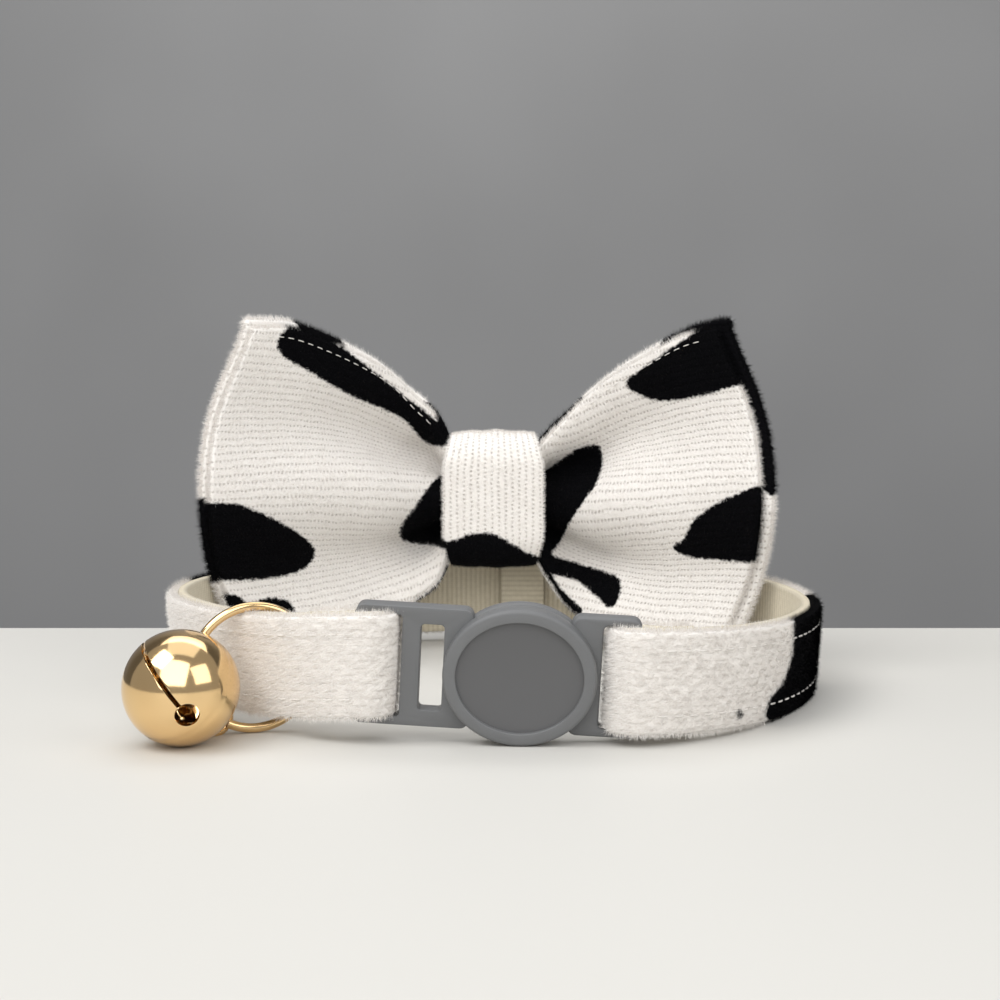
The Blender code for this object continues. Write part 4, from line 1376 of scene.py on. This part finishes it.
    def build_latch(self, plastic: bpy.types.Material) -> None:
        """Model the ladder frame.

        Args:
            plastic: The finish.
        """
        half = self.strap_room / 2 + self.rail
        plate = self.block("buckle_latch_frame", (self.latch_left, -5.0), half, self.thickness, 1.0)
        slot_left = self.latch_left + self.latch_bar
        for ends, slot_half in (
            ((slot_left, slot_left + self.latch_slot), self.strap_room / 2),
            ((self.empty_slot_left, self.empty_slot_left + self.latch_empty_slot), self.empty_slot_half),
        ):
            cut_in(plate, self.block("slot_cut", ends, slot_half, 6.0, 0.45), "DIFFERENCE")
        soften(plate, 0.28, 3)
        self.place(plate, self.latch_roll)
        finish_hard(plate, plastic)
        hand_over(plate, "plastic", "buckle_latch")


def cut_in(piece: bpy.types.Object, other: bpy.types.Object, operation: str) -> None:
    """Cut or join a piece with another, which is then removed.

    Args:
        piece: The piece that stays.
        other: The piece that cuts or joins.
        operation: Blender's name of the operation.
    """
    modifier = piece.modifiers.new("cut", "BOOLEAN")
    modifier.operation = operation
    modifier.solver = "EXACT"
    modifier.object = other
    apply_modifiers(piece)
    bpy.data.objects.remove(other)


def soften(piece: bpy.types.Object, width: float, segments: int) -> None:
    """Round a piece's sharp edges.

    Args:
        piece: The piece.
        width: The rounding's width.
        segments: Its segments.
    """
    bevel = piece.modifiers.new("soft_edges", "BEVEL")
    bevel.width = width
    bevel.segments = segments
    bevel.limit_method = "ANGLE"
    bevel.angle_limit = math.radians(45.0)
    apply_modifiers(piece)


def join(pieces: list[bpy.types.Object], name: str) -> bpy.types.Object:
    """Join pieces into the first one.

    Args:
        pieces: The pieces.
        name: The name of the joined piece.

    Returns:
        The joined piece.
    """
    deselect_all()
    for piece in pieces:
        piece.select_set(True)
    bpy.context.view_layer.objects.active = pieces[0]
    bpy.ops.object.join()
    pieces[0].name = name
    return pieces[0]


def finish_hard(piece: bpy.types.Object, material: bpy.types.Material) -> None:
    """Shade a hard piece and give it its material.

    Args:
        piece: The piece.
        material: Its finish.
    """
    deselect_all()
    piece.select_set(True)
    bpy.context.view_layer.objects.active = piece
    bpy.ops.object.shade_smooth_by_angle(angle=math.radians(40.0))
    give_material(piece, material)


# A place on the strap's middle, the up direction, the share of the way and whether it is on the main way
Station = tuple[Vector, Vector, float, bool]


@dataclass
class Strap:
    """The strap's path round the loop and its two layers, in mm of the maker's frame."""

    buckle: Buckle
    half_width: float = 37.9
    half_depth: float = 34.4
    roundness: float = 2.1
    middle_x: float = -0.6
    middle_y: float = -1.0
    width: float = 10.7
    cover: float = 1.0
    gap: float = 0.2
    lining: float = 1.0
    wrap: float = 2.2
    tail: float = 7.0
    roll_fade: float = 0.035
    end_fade: float = 0.16
    lie: tuple[dict[str, float], ...] = (
        {"way": 0.06, "lift": 0.21, "lean": 8.0},
        {"way": 0.12, "lift": 0.18, "lean": 7.0},
        {"way": 0.20, "lift": 0.15, "lean": 5.0},
        {"way": 0.32, "lift": 0.12, "lean": 0.0},
        {"way": 0.50, "lift": 0.13, "lean": 0.0},
        {"way": 0.68, "lift": 0.06, "lean": 0.0},
        {"way": 0.80, "lift": 0.015, "lean": 3.0},
        {"way": 0.90, "lift": 0.04, "lean": 7.0},
    )
    rows: list = field(default_factory=list)

    def __post_init__(self) -> None:
        """Work out the ends at the buckle's bars."""
        self.latch = self.buckle.matrix(self.buckle.latch_roll)
        self.housing = self.buckle.matrix(self.buckle.housing_roll)
        self.left_bar = self.latch @ Vector((self.buckle.latch_bar_x, 0, 0))
        self.right_bar = self.housing @ Vector((self.buckle.housing_bar_x, 0, 0))
        self.start = self.turn_at(self.left_bar.x, -1)
        self.end = self.turn_at(self.right_bar.x, 1) - 2 * math.pi
        half = self.width / 2
        self.rows = [{"way": 0.0, "lean": self.buckle.lean, "height": self.left_bar.z}]
        for row in self.lie:
            height = row["lift"] * self.width + half * math.cos(math.radians(row["lean"]))
            self.rows.append({"way": row["way"], "lean": row["lean"], "height": height})
        self.rows.append({"way": 1.0, "lean": self.buckle.lean, "height": self.right_bar.z})

    def turn_at(self, x: float, side: int) -> float:
        """Give the ellipse angle of the front place at x, left (-1) or right (1)."""
        share = min(abs(x - self.middle_x) / self.half_width, 1.0) ** (self.roundness / 2)
        return -math.acos(share) if side > 0 else -math.pi + math.acos(share)

    def on_ellipse(self, turn: float) -> tuple[Vector, Vector]:
        """Give a place on the loop in plan.

        Args:
            turn: The ellipse's angle there.

        Returns:
            The place and its outward direction.
        """
        power = 2.0 / self.roundness
        c, s = math.cos(turn), math.sin(turn)
        place = Vector((
            self.middle_x + self.half_width * math.copysign(abs(c) ** power, c),
            self.middle_y + self.half_depth * math.copysign(abs(s) ** power, s), 0.0,
        ))
        out = Vector((
            math.copysign(abs(c) ** (2 - power), c) / self.half_width,
            math.copysign(abs(s) ** (2 - power), s) / self.half_depth, 0.0,
        ))
        return place, out.normalized()

    def path(self, way: float) -> tuple[Vector, Vector]:
        """Give the strap's middle in plan.

        Args:
            way: The share of the way round, from the left bar to the right one.

        Returns:
            The place and its outward direction.
        """
        place, out = self.on_ellipse(self.start + (self.end - self.start) * way)
        start_place, start_out = self.on_ellipse(self.start)
        end_place, end_out = self.on_ellipse(self.end)
        start_shift = self.left_bar + start_out * self.wrap - start_place
        end_shift = self.right_bar + end_out * self.wrap - end_place
        start_shift.z = 0.0
        end_shift.z = 0.0
        place = place + start_shift * float(1.0 - smoothstep(way / self.end_fade))
        return place + end_shift * float(smoothstep((way - 1.0 + self.end_fade) / self.end_fade)), out

    def length(self) -> float:
        """Add up the length from bar to bar."""
        places = [self.path(i / 60)[0] for i in range(61)]
        return sum((b - a).length for a, b in zip(places, places[1:]))

    def stations(self, steps: int, turn_steps: int, tail_steps: int) -> list[Station]:
        """List the stations from one tail's end to the other.

        Args:
            steps: Stretches of the main way.
            turn_steps: Stretches of each turn round a bar.
            tail_steps: Places along each tail.

        Returns:
            Place, up direction, share of the way and whether it is on the main way.
        """
        first, last = (self.end_stations(edge, turn_steps, tail_steps) for edge in (0.0, 1.0))
        ways = [index / steps for index in range(steps + 1)]
        return first[::-1] + [self.station(*self.path(way), way, True) for way in ways] + last

    def station(self, plan: Vector, out: Vector, way: float, main: bool) -> Station:
        """Work out one station.

        Args:
            plan: Its place in plan.
            out: The outward direction there.
            way: Its share of the way.
            main: Whether it is on the main way.

        Returns:
            Place, up direction, share of the way and whether it is on the main way.
        """
        height = float(read_table(tuple(self.rows), "way", "height", way))
        lean = math.radians(float(read_table(tuple(self.rows), "way", "lean", way)))
        up = out * math.sin(lean) + Vector((0, 0, math.cos(lean)))
        for half, share in ((self.latch, way), (self.housing, 1.0 - way)):
            up = up.lerp(half.col[2].to_3d(), float(smoothstep(1.0 - share / self.roll_fade)))
        return Vector((plan.x, plan.y, height)), up.normalized(), way, main

    def end_stations(self, edge: float, turn_steps: int, tail_steps: int) -> list[Station]:
        """List the stations of the turn round a bar and of the tail behind it.

        Args:
            edge: 0 for the way's start, 1 for its end.
            turn_steps: Stretches of the turn.
            tail_steps: Places along the tail.

        Returns:
            The stations from the bar to the tail's end.
        """
        sign = 1.0 - 2.0 * edge
        share_of_tail = self.tail / self.length()
        against = self.cover + self.gap + self.lining + self.buckle.touch
        place, out = self.path(edge)
        center = place - out * self.wrap
        toward = Vector((-out.y, out.x, 0)) * sign
        found = []
        for index in range(1, turn_steps):
            angle = math.pi * (index / turn_steps)
            plan = center + (out * math.cos(angle) + toward * math.sin(angle)) * self.wrap
            found.append(self.station(plan, out, edge, False))
        for index in range(tail_steps):
            share = index / (tail_steps - 1)
            way = edge + sign * share_of_tail * share
            place, out = self.path(way)
            spacing = 2 * self.wrap + (against - 2 * self.wrap) * float(smoothstep(share / 0.6))
            found.append(self.station(place - out * spacing, out, way, False))
        return found

    def layer(
        self, depth: float, stations: list[Station], points: int, crown: float,
    ) -> tuple[np.ndarray, np.ndarray, np.ndarray]:
        """Work out one face of a layer.

        Args:
            depth: How far outward of the strap's middle the face lies.
            stations: The strap's stations.
            points: Stretches across the strap.
            crown: How far the face swells in its middle.

        Returns:
            The places, the length along and the length across.
        """
        places = np.array([tuple(s[0]) for s in stations])
        ups = np.array([tuple(s[1]) for s in stations])
        ahead = np.empty_like(places)
        ahead[1:-1] = places[2:] - places[:-2]
        ahead[0] = places[1] - places[0]
        ahead[-1] = places[-1] - places[-2]
        ahead /= np.linalg.norm(ahead, axis=-1, keepdims=True)
        out = np.cross(ups, ahead)
        out /= np.linalg.norm(out, axis=-1, keepdims=True)
        across = np.linspace(-1.0, 1.0, points + 1)
        swell = crown * (1.0 - across ** 6) - crown
        lattice = (
            places[:, None, :] + out[:, None, :] * (depth + swell)[None, :, None]
            + ups[:, None, :] * (across * self.width / 2)[None, :, None]
        )
        steps = np.linalg.norm(np.diff(places, axis=0), axis=-1)
        along = np.concatenate([[0.0], np.cumsum(steps)])
        return (
            lattice, np.repeat(along[:, None], points + 1, axis=1),
            np.repeat((across * self.width / 2)[None, :], len(places), axis=0),
        )


STRAP_FRONT_PRINT = CowPrint({
    "right_turn": (
        (795, 600), (794, 630), (792, 655), (783, 682), (770, 700), (768, 720), (800, 720), (840, 700),
        (840, 590), (800, 585),
    ),
    "speck": ((738, 711), (741, 709), (743, 714), (741, 719), (738, 717)),
})


def strap_patches(along: np.ndarray, across: np.ndarray, total: float) -> np.ndarray:
    """Give the black patches of the strap where the photo doesn't show it, as ovals on the flat cloth.

    Args:
        along: Lengths along the strap.
        across: Lengths across it.
        total: The strap's whole length.

    Returns:
        How far inside a patch each place lies.
    """
    ovals = (
        {"along": 0.29, "across": 3.4, "long": 5.5, "wide": 3.6},
        {"along": 0.36, "across": -3.0, "long": 6.5, "wide": 4.2},
        {"along": 0.46, "across": 2.6, "long": 7.5, "wide": 4.0},
        {"along": 0.56, "across": -2.2, "long": 5.5, "wide": 4.4},
        {"along": 0.64, "across": 3.0, "long": 6.0, "wide": 3.4},
    )
    inside = np.full(along.shape, -50.0)
    for oval in ovals:
        spot = np.hypot(
            (along - oval["along"] * total) / oval["long"], (across - oval["across"]) / oval["wide"],
        )
        bend = 0.16 * np.sin(along * 0.9 + across * 0.7) + 0.12 * np.sin(across * 1.3 - along * 0.6)
        inside = np.maximum(inside, (1.0 + bend - spot) * oval["wide"])
    return inside


@dataclass
class BellSet:
    """The split ring and the bell on it, in mm of the maker's frame."""

    strap: Strap
    ring_outer: float = 14.0
    ring_wire: float = 1.0
    ring_turn: float = 20.0
    ring_way: float = 0.063
    ring_offset: float = 0.5
    split: float = 0.3
    split_angle: float = -62.0
    diameter: float = 12.0
    wall: float = 0.6
    slit: float = 0.48
    hole: float = 2.5
    hole_angle: float = 70.0
    slit_roll: float = 139.0
    ring_angle: float = -55.0
    turn: float = 31.5
    shank_hole: float = 2.3
    shank_wire: float = 0.8

    def ring_point(self, angle: float) -> Vector:
        """Give a place on the ring's middle line.

        Args:
            angle: Degrees above the ring's front left side.

        Returns:
            The place.
        """
        place, _ = self.strap.path(self.ring_way)
        turn = math.radians(self.ring_turn)
        side = Vector((-math.cos(turn), -math.sin(turn), 0))
        center = place + side * self.ring_offset
        center.z = self.ring_outer / 2
        radius = (self.ring_outer - self.ring_wire) / 2
        turned = math.radians(angle)
        return center + (side * math.cos(turned) + Vector((0, 0, math.sin(turned)))) * radius

    def bell_matrix(self) -> tuple[Matrix, float]:
        """Work out how the bell hangs.

        Returns:
            The bell's place, its +Z away from the ring, and how far its shank reaches.
        """
        held = self.ring_point(self.ring_angle)
        radius = self.diameter / 2
        reach = radius + self.shank_hole / 2 + self.shank_wire / 4
        flat = math.sqrt(reach ** 2 - (held.z - radius) ** 2)
        turn = math.radians(-90.0 - self.turn)
        center = held + Vector((math.cos(turn) * flat, math.sin(turn) * flat, 0))
        center.z = radius
        away = (center - held).normalized()
        across = Vector((0, 0, 1)).cross(away).normalized()
        matrix = Matrix((across, away.cross(across), away)).transposed().to_4x4()
        matrix.translation = center
        return matrix, reach

    def build(self, gold: bpy.types.Material) -> None:
        """Model the ring, the bell and its pellet and hand them over.

        Args:
            gold: Their finish.
        """
        self.build_ring(gold)
        self.build_bell(gold)

    def build_ring(self, gold: bpy.types.Material) -> None:
        """Model the ring as a wire round an open circle.

        Args:
            gold: The finish.
        """
        steps = 140
        gap = math.degrees(self.split / ((self.ring_outer - self.ring_wire) / 2))
        curve = bpy.data.curves.new("split_ring", "CURVE")
        curve.dimensions = "3D"
        curve.bevel_depth = self.ring_wire / 2
        curve.bevel_resolution = 7
        curve.use_fill_caps = True
        spline = curve.splines.new("POLY")
        spline.points.add(steps)
        first = self.split_angle + gap / 2
        for index, point in enumerate(spline.points):
            point.co = (*self.ring_point(first + (360.0 - gap) * index / steps), 1.0)
        piece = mesh_from_curve("split_ring", curve)
        merge_doubles(piece.data, 0.0005)
        piece.data.transform(Matrix.Translation(Vector(SHIFT) * MM) @ Matrix.Scale(MM, 4))
        finish_hard(piece, gold)
        hand_over(piece, "gold", "bell_ring")

    def build_bell(self, gold: bpy.types.Material) -> None:
        """Model the bell as a pressed shell with a slit, two round holes, a rolled seam and a shank.

        Args:
            gold: The finish.
        """
        matrix, reach = self.bell_matrix()
        radius = self.diameter / 2
        deselect_all()
        bpy.ops.mesh.primitive_uv_sphere_add(segments=96, ring_count=64, radius=radius)
        bell = bpy.context.object
        bell.name = "jingle_bell"
        for vertex in bell.data.vertices:
            near = abs(vertex.co.z) / 0.16
            if near < 1.0:
                vertex.co *= 1.0 - 0.012 * (1.0 - near * near)
        wall = bell.modifiers.new("wall", "SOLIDIFY")
        wall.thickness = self.wall
        wall.offset = -1.0
        apply_modifiers(bell)
        slit_turn = Matrix.Rotation(math.radians(self.slit_roll), 4, "Z")
        slit_length = 2 * radius * math.sin(math.radians(self.hole_angle))
        cutters = []
        deselect_all()
        bpy.ops.mesh.primitive_cube_add(size=1.0)
        slit = bpy.context.object
        slit.data.transform(
            slit_turn @ Matrix.Translation((0, 0, radius * 1.3))
            @ Matrix.Diagonal((slit_length, self.slit, self.diameter, 1)))
        cutters.append(slit)
        for side in (-1, 1):
            deselect_all()
            bpy.ops.mesh.primitive_cylinder_add(vertices=40, radius=self.hole / 2, depth=radius)
            hole = bpy.context.object
            lean = Matrix.Rotation(math.radians(side * self.hole_angle), 4, "Y")
            hole.data.transform(slit_turn @ lean @ Matrix.Translation((0, 0, radius)))
            cutters.append(hole)
        for cutter in cutters:
            cut_in(bell, cutter, "DIFFERENCE")
        soften(bell, 0.09, 2)
        deselect_all()
        bpy.ops.mesh.primitive_torus_add(
            major_segments=48, minor_segments=20,
            major_radius=(self.shank_hole + self.shank_wire) / 2, minor_radius=self.shank_wire / 2)
        shank = bpy.context.object
        tangent = (self.ring_point(self.ring_angle + 5) - self.ring_point(self.ring_angle - 5)).normalized()
        local = matrix.to_3x3().inverted() @ tangent
        facing = Vector((local.x, local.y, 0)).to_track_quat("Z", "Y").to_matrix().to_4x4()
        shank.data.transform(Matrix.Translation((0, 0, -reach + self.shank_wire / 4)) @ facing)
        join([bell, shank], "jingle_bell")
        to_frame = Matrix.Translation(Vector(SHIFT) * MM) @ Matrix.Scale(MM, 4)
        bell.data.transform(to_frame @ matrix)
        finish_hard(bell, gold)
        hand_over(bell, "gold", "bell")
        deselect_all()
        bpy.ops.mesh.primitive_ico_sphere_add(subdivisions=3, radius=1.5)
        pellet = bpy.context.object
        pellet.name = "steel_pellet"
        rest = matrix.translation - Vector((0, 0, radius - self.wall - 0.6 - 1.5))
        pellet.data.transform(to_frame @ Matrix.Translation(rest))
        pellet.data.shade_smooth()
        give_material(pellet, gold)
        hand_over(pellet, "gold", "bell_pellet")


@dataclass
class Keeper:
    """The woven loop at the back of the knot that the strap passes through, in mm of the maker's frame."""

    width: float = 6.0
    cloth: float = 0.9
    top: float = 19.0
    corner: float = 1.6
    offset_x: float = 4.1
    front_y: float = 30.2
    back_y: float = 35.7
    steps: int = 260
    points: int = 20

    def build(self, webbing: bpy.types.Material) -> None:
        """Model the loop and hand it over.

        Args:
            webbing: Its finish.
        """
        depth = self.back_y - self.front_y
        total = 2 * (depth + self.top - 4 * self.corner) + 2 * math.pi * self.corner
        spots = np.linspace(0.0, total, self.steps + 1)
        loop = rounded_rectangle(depth, self.top, self.corner, spots)
        across = np.linspace(-1.0, 1.0, self.points + 1) * self.width / 2
        places = np.empty((len(spots), len(across), 3))
        places[..., 0] = KNOT_MIDDLE[0] + self.offset_x + across[None, :]
        places[..., 1] = (self.front_y + self.back_y) / 2 + loop[:, 0:1]
        places[..., 2] = self.top / 2 + loop[:, 1:2]
        places[-1] = places[0]
        along = np.repeat(spots[:, None], len(across), axis=1)
        wide = np.repeat(across[None, :], len(spots), axis=0)
        cloth = Cloth(places, along, wide, np.full(along.shape, -50.0))
        piece = cloth.build("keeper_webbing", self.cloth, webbing, closed=True)
        hand_over(piece, "lining", "bow_keeper")


@dataclass
class Collar:
    """The whole collar: it builds each sub-assembly and dresses it."""

    plush: PlushFinish = field(default_factory=lambda: PlushFinish(depth=0.85))
    strap_plush: PlushFinish = field(
        default_factory=lambda: PlushFinish("strap_plush", row=0.8, stitch=2.3, depth=0.5))
    pile: Pile = Pile(density=36.0, length=0.5)
    bow_fringe: Pile = Pile(density=75.0, length=0.8)
    knot_fringe: Pile = Pile(density=50.0, length=0.5)
    strap_pile: Pile = Pile(density=34.0, length=1.15, width=0.06, lean_low=55.0, lean_high=86.0, spread=0.35)
    strap_fringe: Pile = Pile(density=70.0, length=0.75)
    topstitch: Stitch = Stitch(inset=1.0, pitch=1.5, length=0.85, thread=0.13, relief=1.3)
    strap_stitch: Stitch = Stitch(inset=1.9, pitch=2.0, length=1.25, thread=0.22, relief=0.75)
    lining_rib: float = 0.7
    rib_height: float = 0.14

    def build(self) -> None:
        """Build every piece in order."""
        self.thread = SewingThread().material()
        webbing = RibbedFinish().material()
        plastic = MouldedPlastic().material()
        gold = PolishedGold().material()
        buckle = Buckle()
        strap = Strap(buckle)
        self.build_bow(self.plush.cloth(), self.plush.pile())
        self.build_strap(strap, self.strap_plush.cloth(), self.strap_plush.pile(), webbing)
        Keeper().build(webbing)
        buckle.build(plastic)
        BellSet(strap).build(gold)

    def build_bow(self, ground: bpy.types.Material, fibre: bpy.types.Material) -> None:
        """Build both panels and the knot with their pile.

        Args:
            ground: The cloth's finish.
            fibre: The pile's finish.
        """
        bow = Bow()
        for name, is_front, patches, seed in (
            ("front", True, BOW_FRONT_PRINT, 11), ("back", False, BOW_BACK_PRINT, 23),
        ):
            cloth = bow.panel(is_front, patches)
            piece = cloth.build("bow_" + name + "_cloth", bow.cloth, ground)
            hand_over(piece, "plush", "bow_" + name + "_panel")
            pile = cloth.grow_pile("bow_" + name + "_pile", self.pile, seed, fibre)
            hand_over(pile, "plush")
            if is_front:
                for part, rows in (("left", slice(4, 72)), ("right", slice(110, -4))):
                    seam = cloth.sew("bow_" + part + "_topstitch", self.topstitch, 1, rows, self.thread)
                    hand_over(seam, "plush")
            fringe = cloth.grow_fringe("bow_" + name + "_fringe", self.bow_fringe, seed + 1, fibre)
            hand_over(fringe, "plush")
        band = KnotBand()
        cloth = band.cloth_lattice()
        piece = cloth.build("knot_cloth", band.cloth, ground, closed=True)
        hand_over(piece, "plush", "bow_knot")
        pile = cloth.grow_pile("knot_pile", self.pile, 31, fibre)
        hand_over(pile, "plush")
        fringe = cloth.grow_fringe("knot_fringe", self.knot_fringe, 32, fibre, "ab")
        hand_over(fringe, "plush")

    def build_strap(
        self, strap: Strap, ground: bpy.types.Material, fibre: bpy.types.Material,
        webbing: bpy.types.Material,
    ) -> None:
        """Build the plush cover with its pile and the ribbed lining.

        Args:
            strap: The strap's path and sizes.
            ground: The cover's finish.
            fibre: The pile's finish.
            webbing: The lining's finish.
        """
        stations = strap.stations(420, 16, 16)
        total = strap.cover + strap.gap + strap.lining
        places, along, across = strap.layer(total / 2, stations, 30, 0.12)
        main = np.array([station[3] for station in stations])
        front = (places[..., 1] < 0) & main[:, None]
        seen = np.where(front, STRAP_FRONT_PRINT.on_photo(places), -50.0)
        black = np.maximum(seen, np.where(main[:, None], strap_patches(along, across, along[-1, 0]), -50.0))
        cloth = Cloth(places, along, across, black, flipped=True)
        piece = cloth.build("strap_plush", strap.cover, ground)
        hand_over(piece, "plush", "strap_cover")
        pile = cloth.grow_pile("strap_pile", self.strap_pile, 41, fibre)
        hand_over(pile, "plush")
        fringe = cloth.grow_fringe("strap_fringe", self.strap_fringe, 42, fibre)
        hand_over(fringe, "plush")
        for part, side in (("upper", 1), ("lower", -1)):
            seam = cloth.sew(
                "strap_" + part + "_stitches", self.strap_stitch, side, slice(30, -30), self.thread,
            )
            hand_over(seam, "plush")
        fine = strap.stations(1300, 24, 40)
        places, along, across = strap.layer(-total / 2, fine, 24, 0.0)
        inner = Cloth(places, along, across, np.full(along.shape, -50.0))
        _, _, out = inner.directions()
        ribs = self.rib_height * (np.abs(np.sin(math.pi * along / self.lining_rib)) - 1.0)
        edge = smoothstep((strap.width / 2 - np.abs(across)) / 0.5)
        inner.places = places + out * (ribs * edge)[..., None]
        piece = inner.build("strap_webbing", strap.lining * 0.9, webbing)
        hand_over(piece, "lining", "strap_lining")


@dataclass
class Studio:
    """A pale table with a grey wall behind it and soft light, in mm of the maker's frame."""

    table: str = "#CFCDC7"
    wall: str = "#858585"
    table_width: float = 2600.0
    table_front: float = -1500.0
    table_back: float = 44.1
    wall_y: float = 620.0

    def build(self) -> None:
        """Add the table, the wall and the lights."""
        middle = (self.table_back + self.table_front) / 2
        depth = self.table_back - self.table_front
        self.add_plane("table", (0.0, middle, -0.02), (self.table_width, depth), 0.0, self.table, 0.6)
        self.add_plane("wall", (0.0, self.wall_y, 0.0), (self.table_width * 2, 3000.0), 90.0, self.wall, 0.9)
        self.add_light("key", (-260.0, -160.0, 420.0), (0.0, 20.0, 15.0), 260.0, 1.0)
        self.add_light("fill", (330.0, -260.0, 260.0), (0.0, 0.0, 15.0), 300.0, 0.5)
        self.add_light("front", (-60.0, -420.0, 330.0), (0.0, 0.0, 20.0), 480.0, 1.7)
        self.add_light("top", (0.0, 60.0, 520.0), (0.0, 10.0, 0.0), 420.0, 0.45)
        self.add_light("wall_light", (0.0, 320.0, 520.0), (0.0, self.wall_y, 60.0), 500.0, 1.4)
        world = bpy.data.worlds.new("soft_room")
        bpy.context.scene.world = world
        world.use_nodes = True
        back = world.node_tree.nodes["Background"]
        back.inputs["Color"].default_value = linear("#F4F4F6")
        back.inputs["Strength"].default_value = 0.40
        bpy.context.scene.view_settings.view_transform = "Standard"

    def add_plane(
        self, name: str, place: tuple[float, float, float], size: tuple[float, float], tilt: float,
        code: str, rough: float,
    ) -> None:
        """Add a flat stage piece.

        Args:
            name: Its name.
            place: Its middle.
            size: Its width and depth.
            tilt: Its turn about X in degrees.
            code: Its colour.
            rough: Its roughness.
        """
        deselect_all()
        bpy.ops.mesh.primitive_grid_add(x_subdivisions=8, y_subdivisions=8, size=1.0)
        plane = bpy.context.object
        plane.name = name
        sized = Matrix.Diagonal((size[0] * MM, size[1] * MM, 1, 1))
        turned = Matrix.Rotation(math.radians(tilt), 4, "X") @ sized
        middle = Vector(np.array(place) + SHIFT) * MM
        if not tilt:
            middle.z = place[2] * MM
        plane.data.transform(Matrix.Translation(middle) @ turned)
        material, tree, shader = new_material(name + "_paint")
        spot = add_node(tree, "TexCoord", output="Object")
        cloud = add_node(tree, "TexNoise", {"Vector": spot, "Scale": 6.0, "Detail": 2.0})
        tone = add_node(tree, "Math", (cloud, 0.12), operation="MULTIPLY")
        tones = {"Factor": tone, "A": linear(code), "B": (1, 1, 1, 1)}
        set_inputs(tree, shader, {"Base Color": add_node(tree, "Mix", tones, **COLOUR), "Roughness": rough})
        give_material(plane, material)

    def add_light(
        self, name: str, place: tuple[float, float, float], aim: tuple[float, float, float], size: float,
        power: float,
    ) -> None:
        """Add a soft square light that faces a place.

        Args:
            name: Its name.
            place: Its middle.
            aim: The place that it faces.
            size: Its width.
            power: Its power in watts.
        """
        data = bpy.data.lights.new(name, "AREA")
        data.size = size * MM
        data.energy = power
        light = bpy.data.objects.new(name, data)
        light.location = Vector(place) * MM
        light.rotation_euler = (Vector(aim) - Vector(place)).to_track_quat("-Z", "Y").to_euler()
        bpy.context.scene.collection.objects.link(light)


def write_sizes() -> None:
    """Update the view layer."""
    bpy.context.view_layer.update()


def main() -> None:
    """Build the scene."""
    logging.basicConfig(level=logging.INFO, format="%(message)s")
    CAMERA.build()
    Collar().build()
    Studio().build()
    write_sizes()


if __name__ == "__main__":
    main()
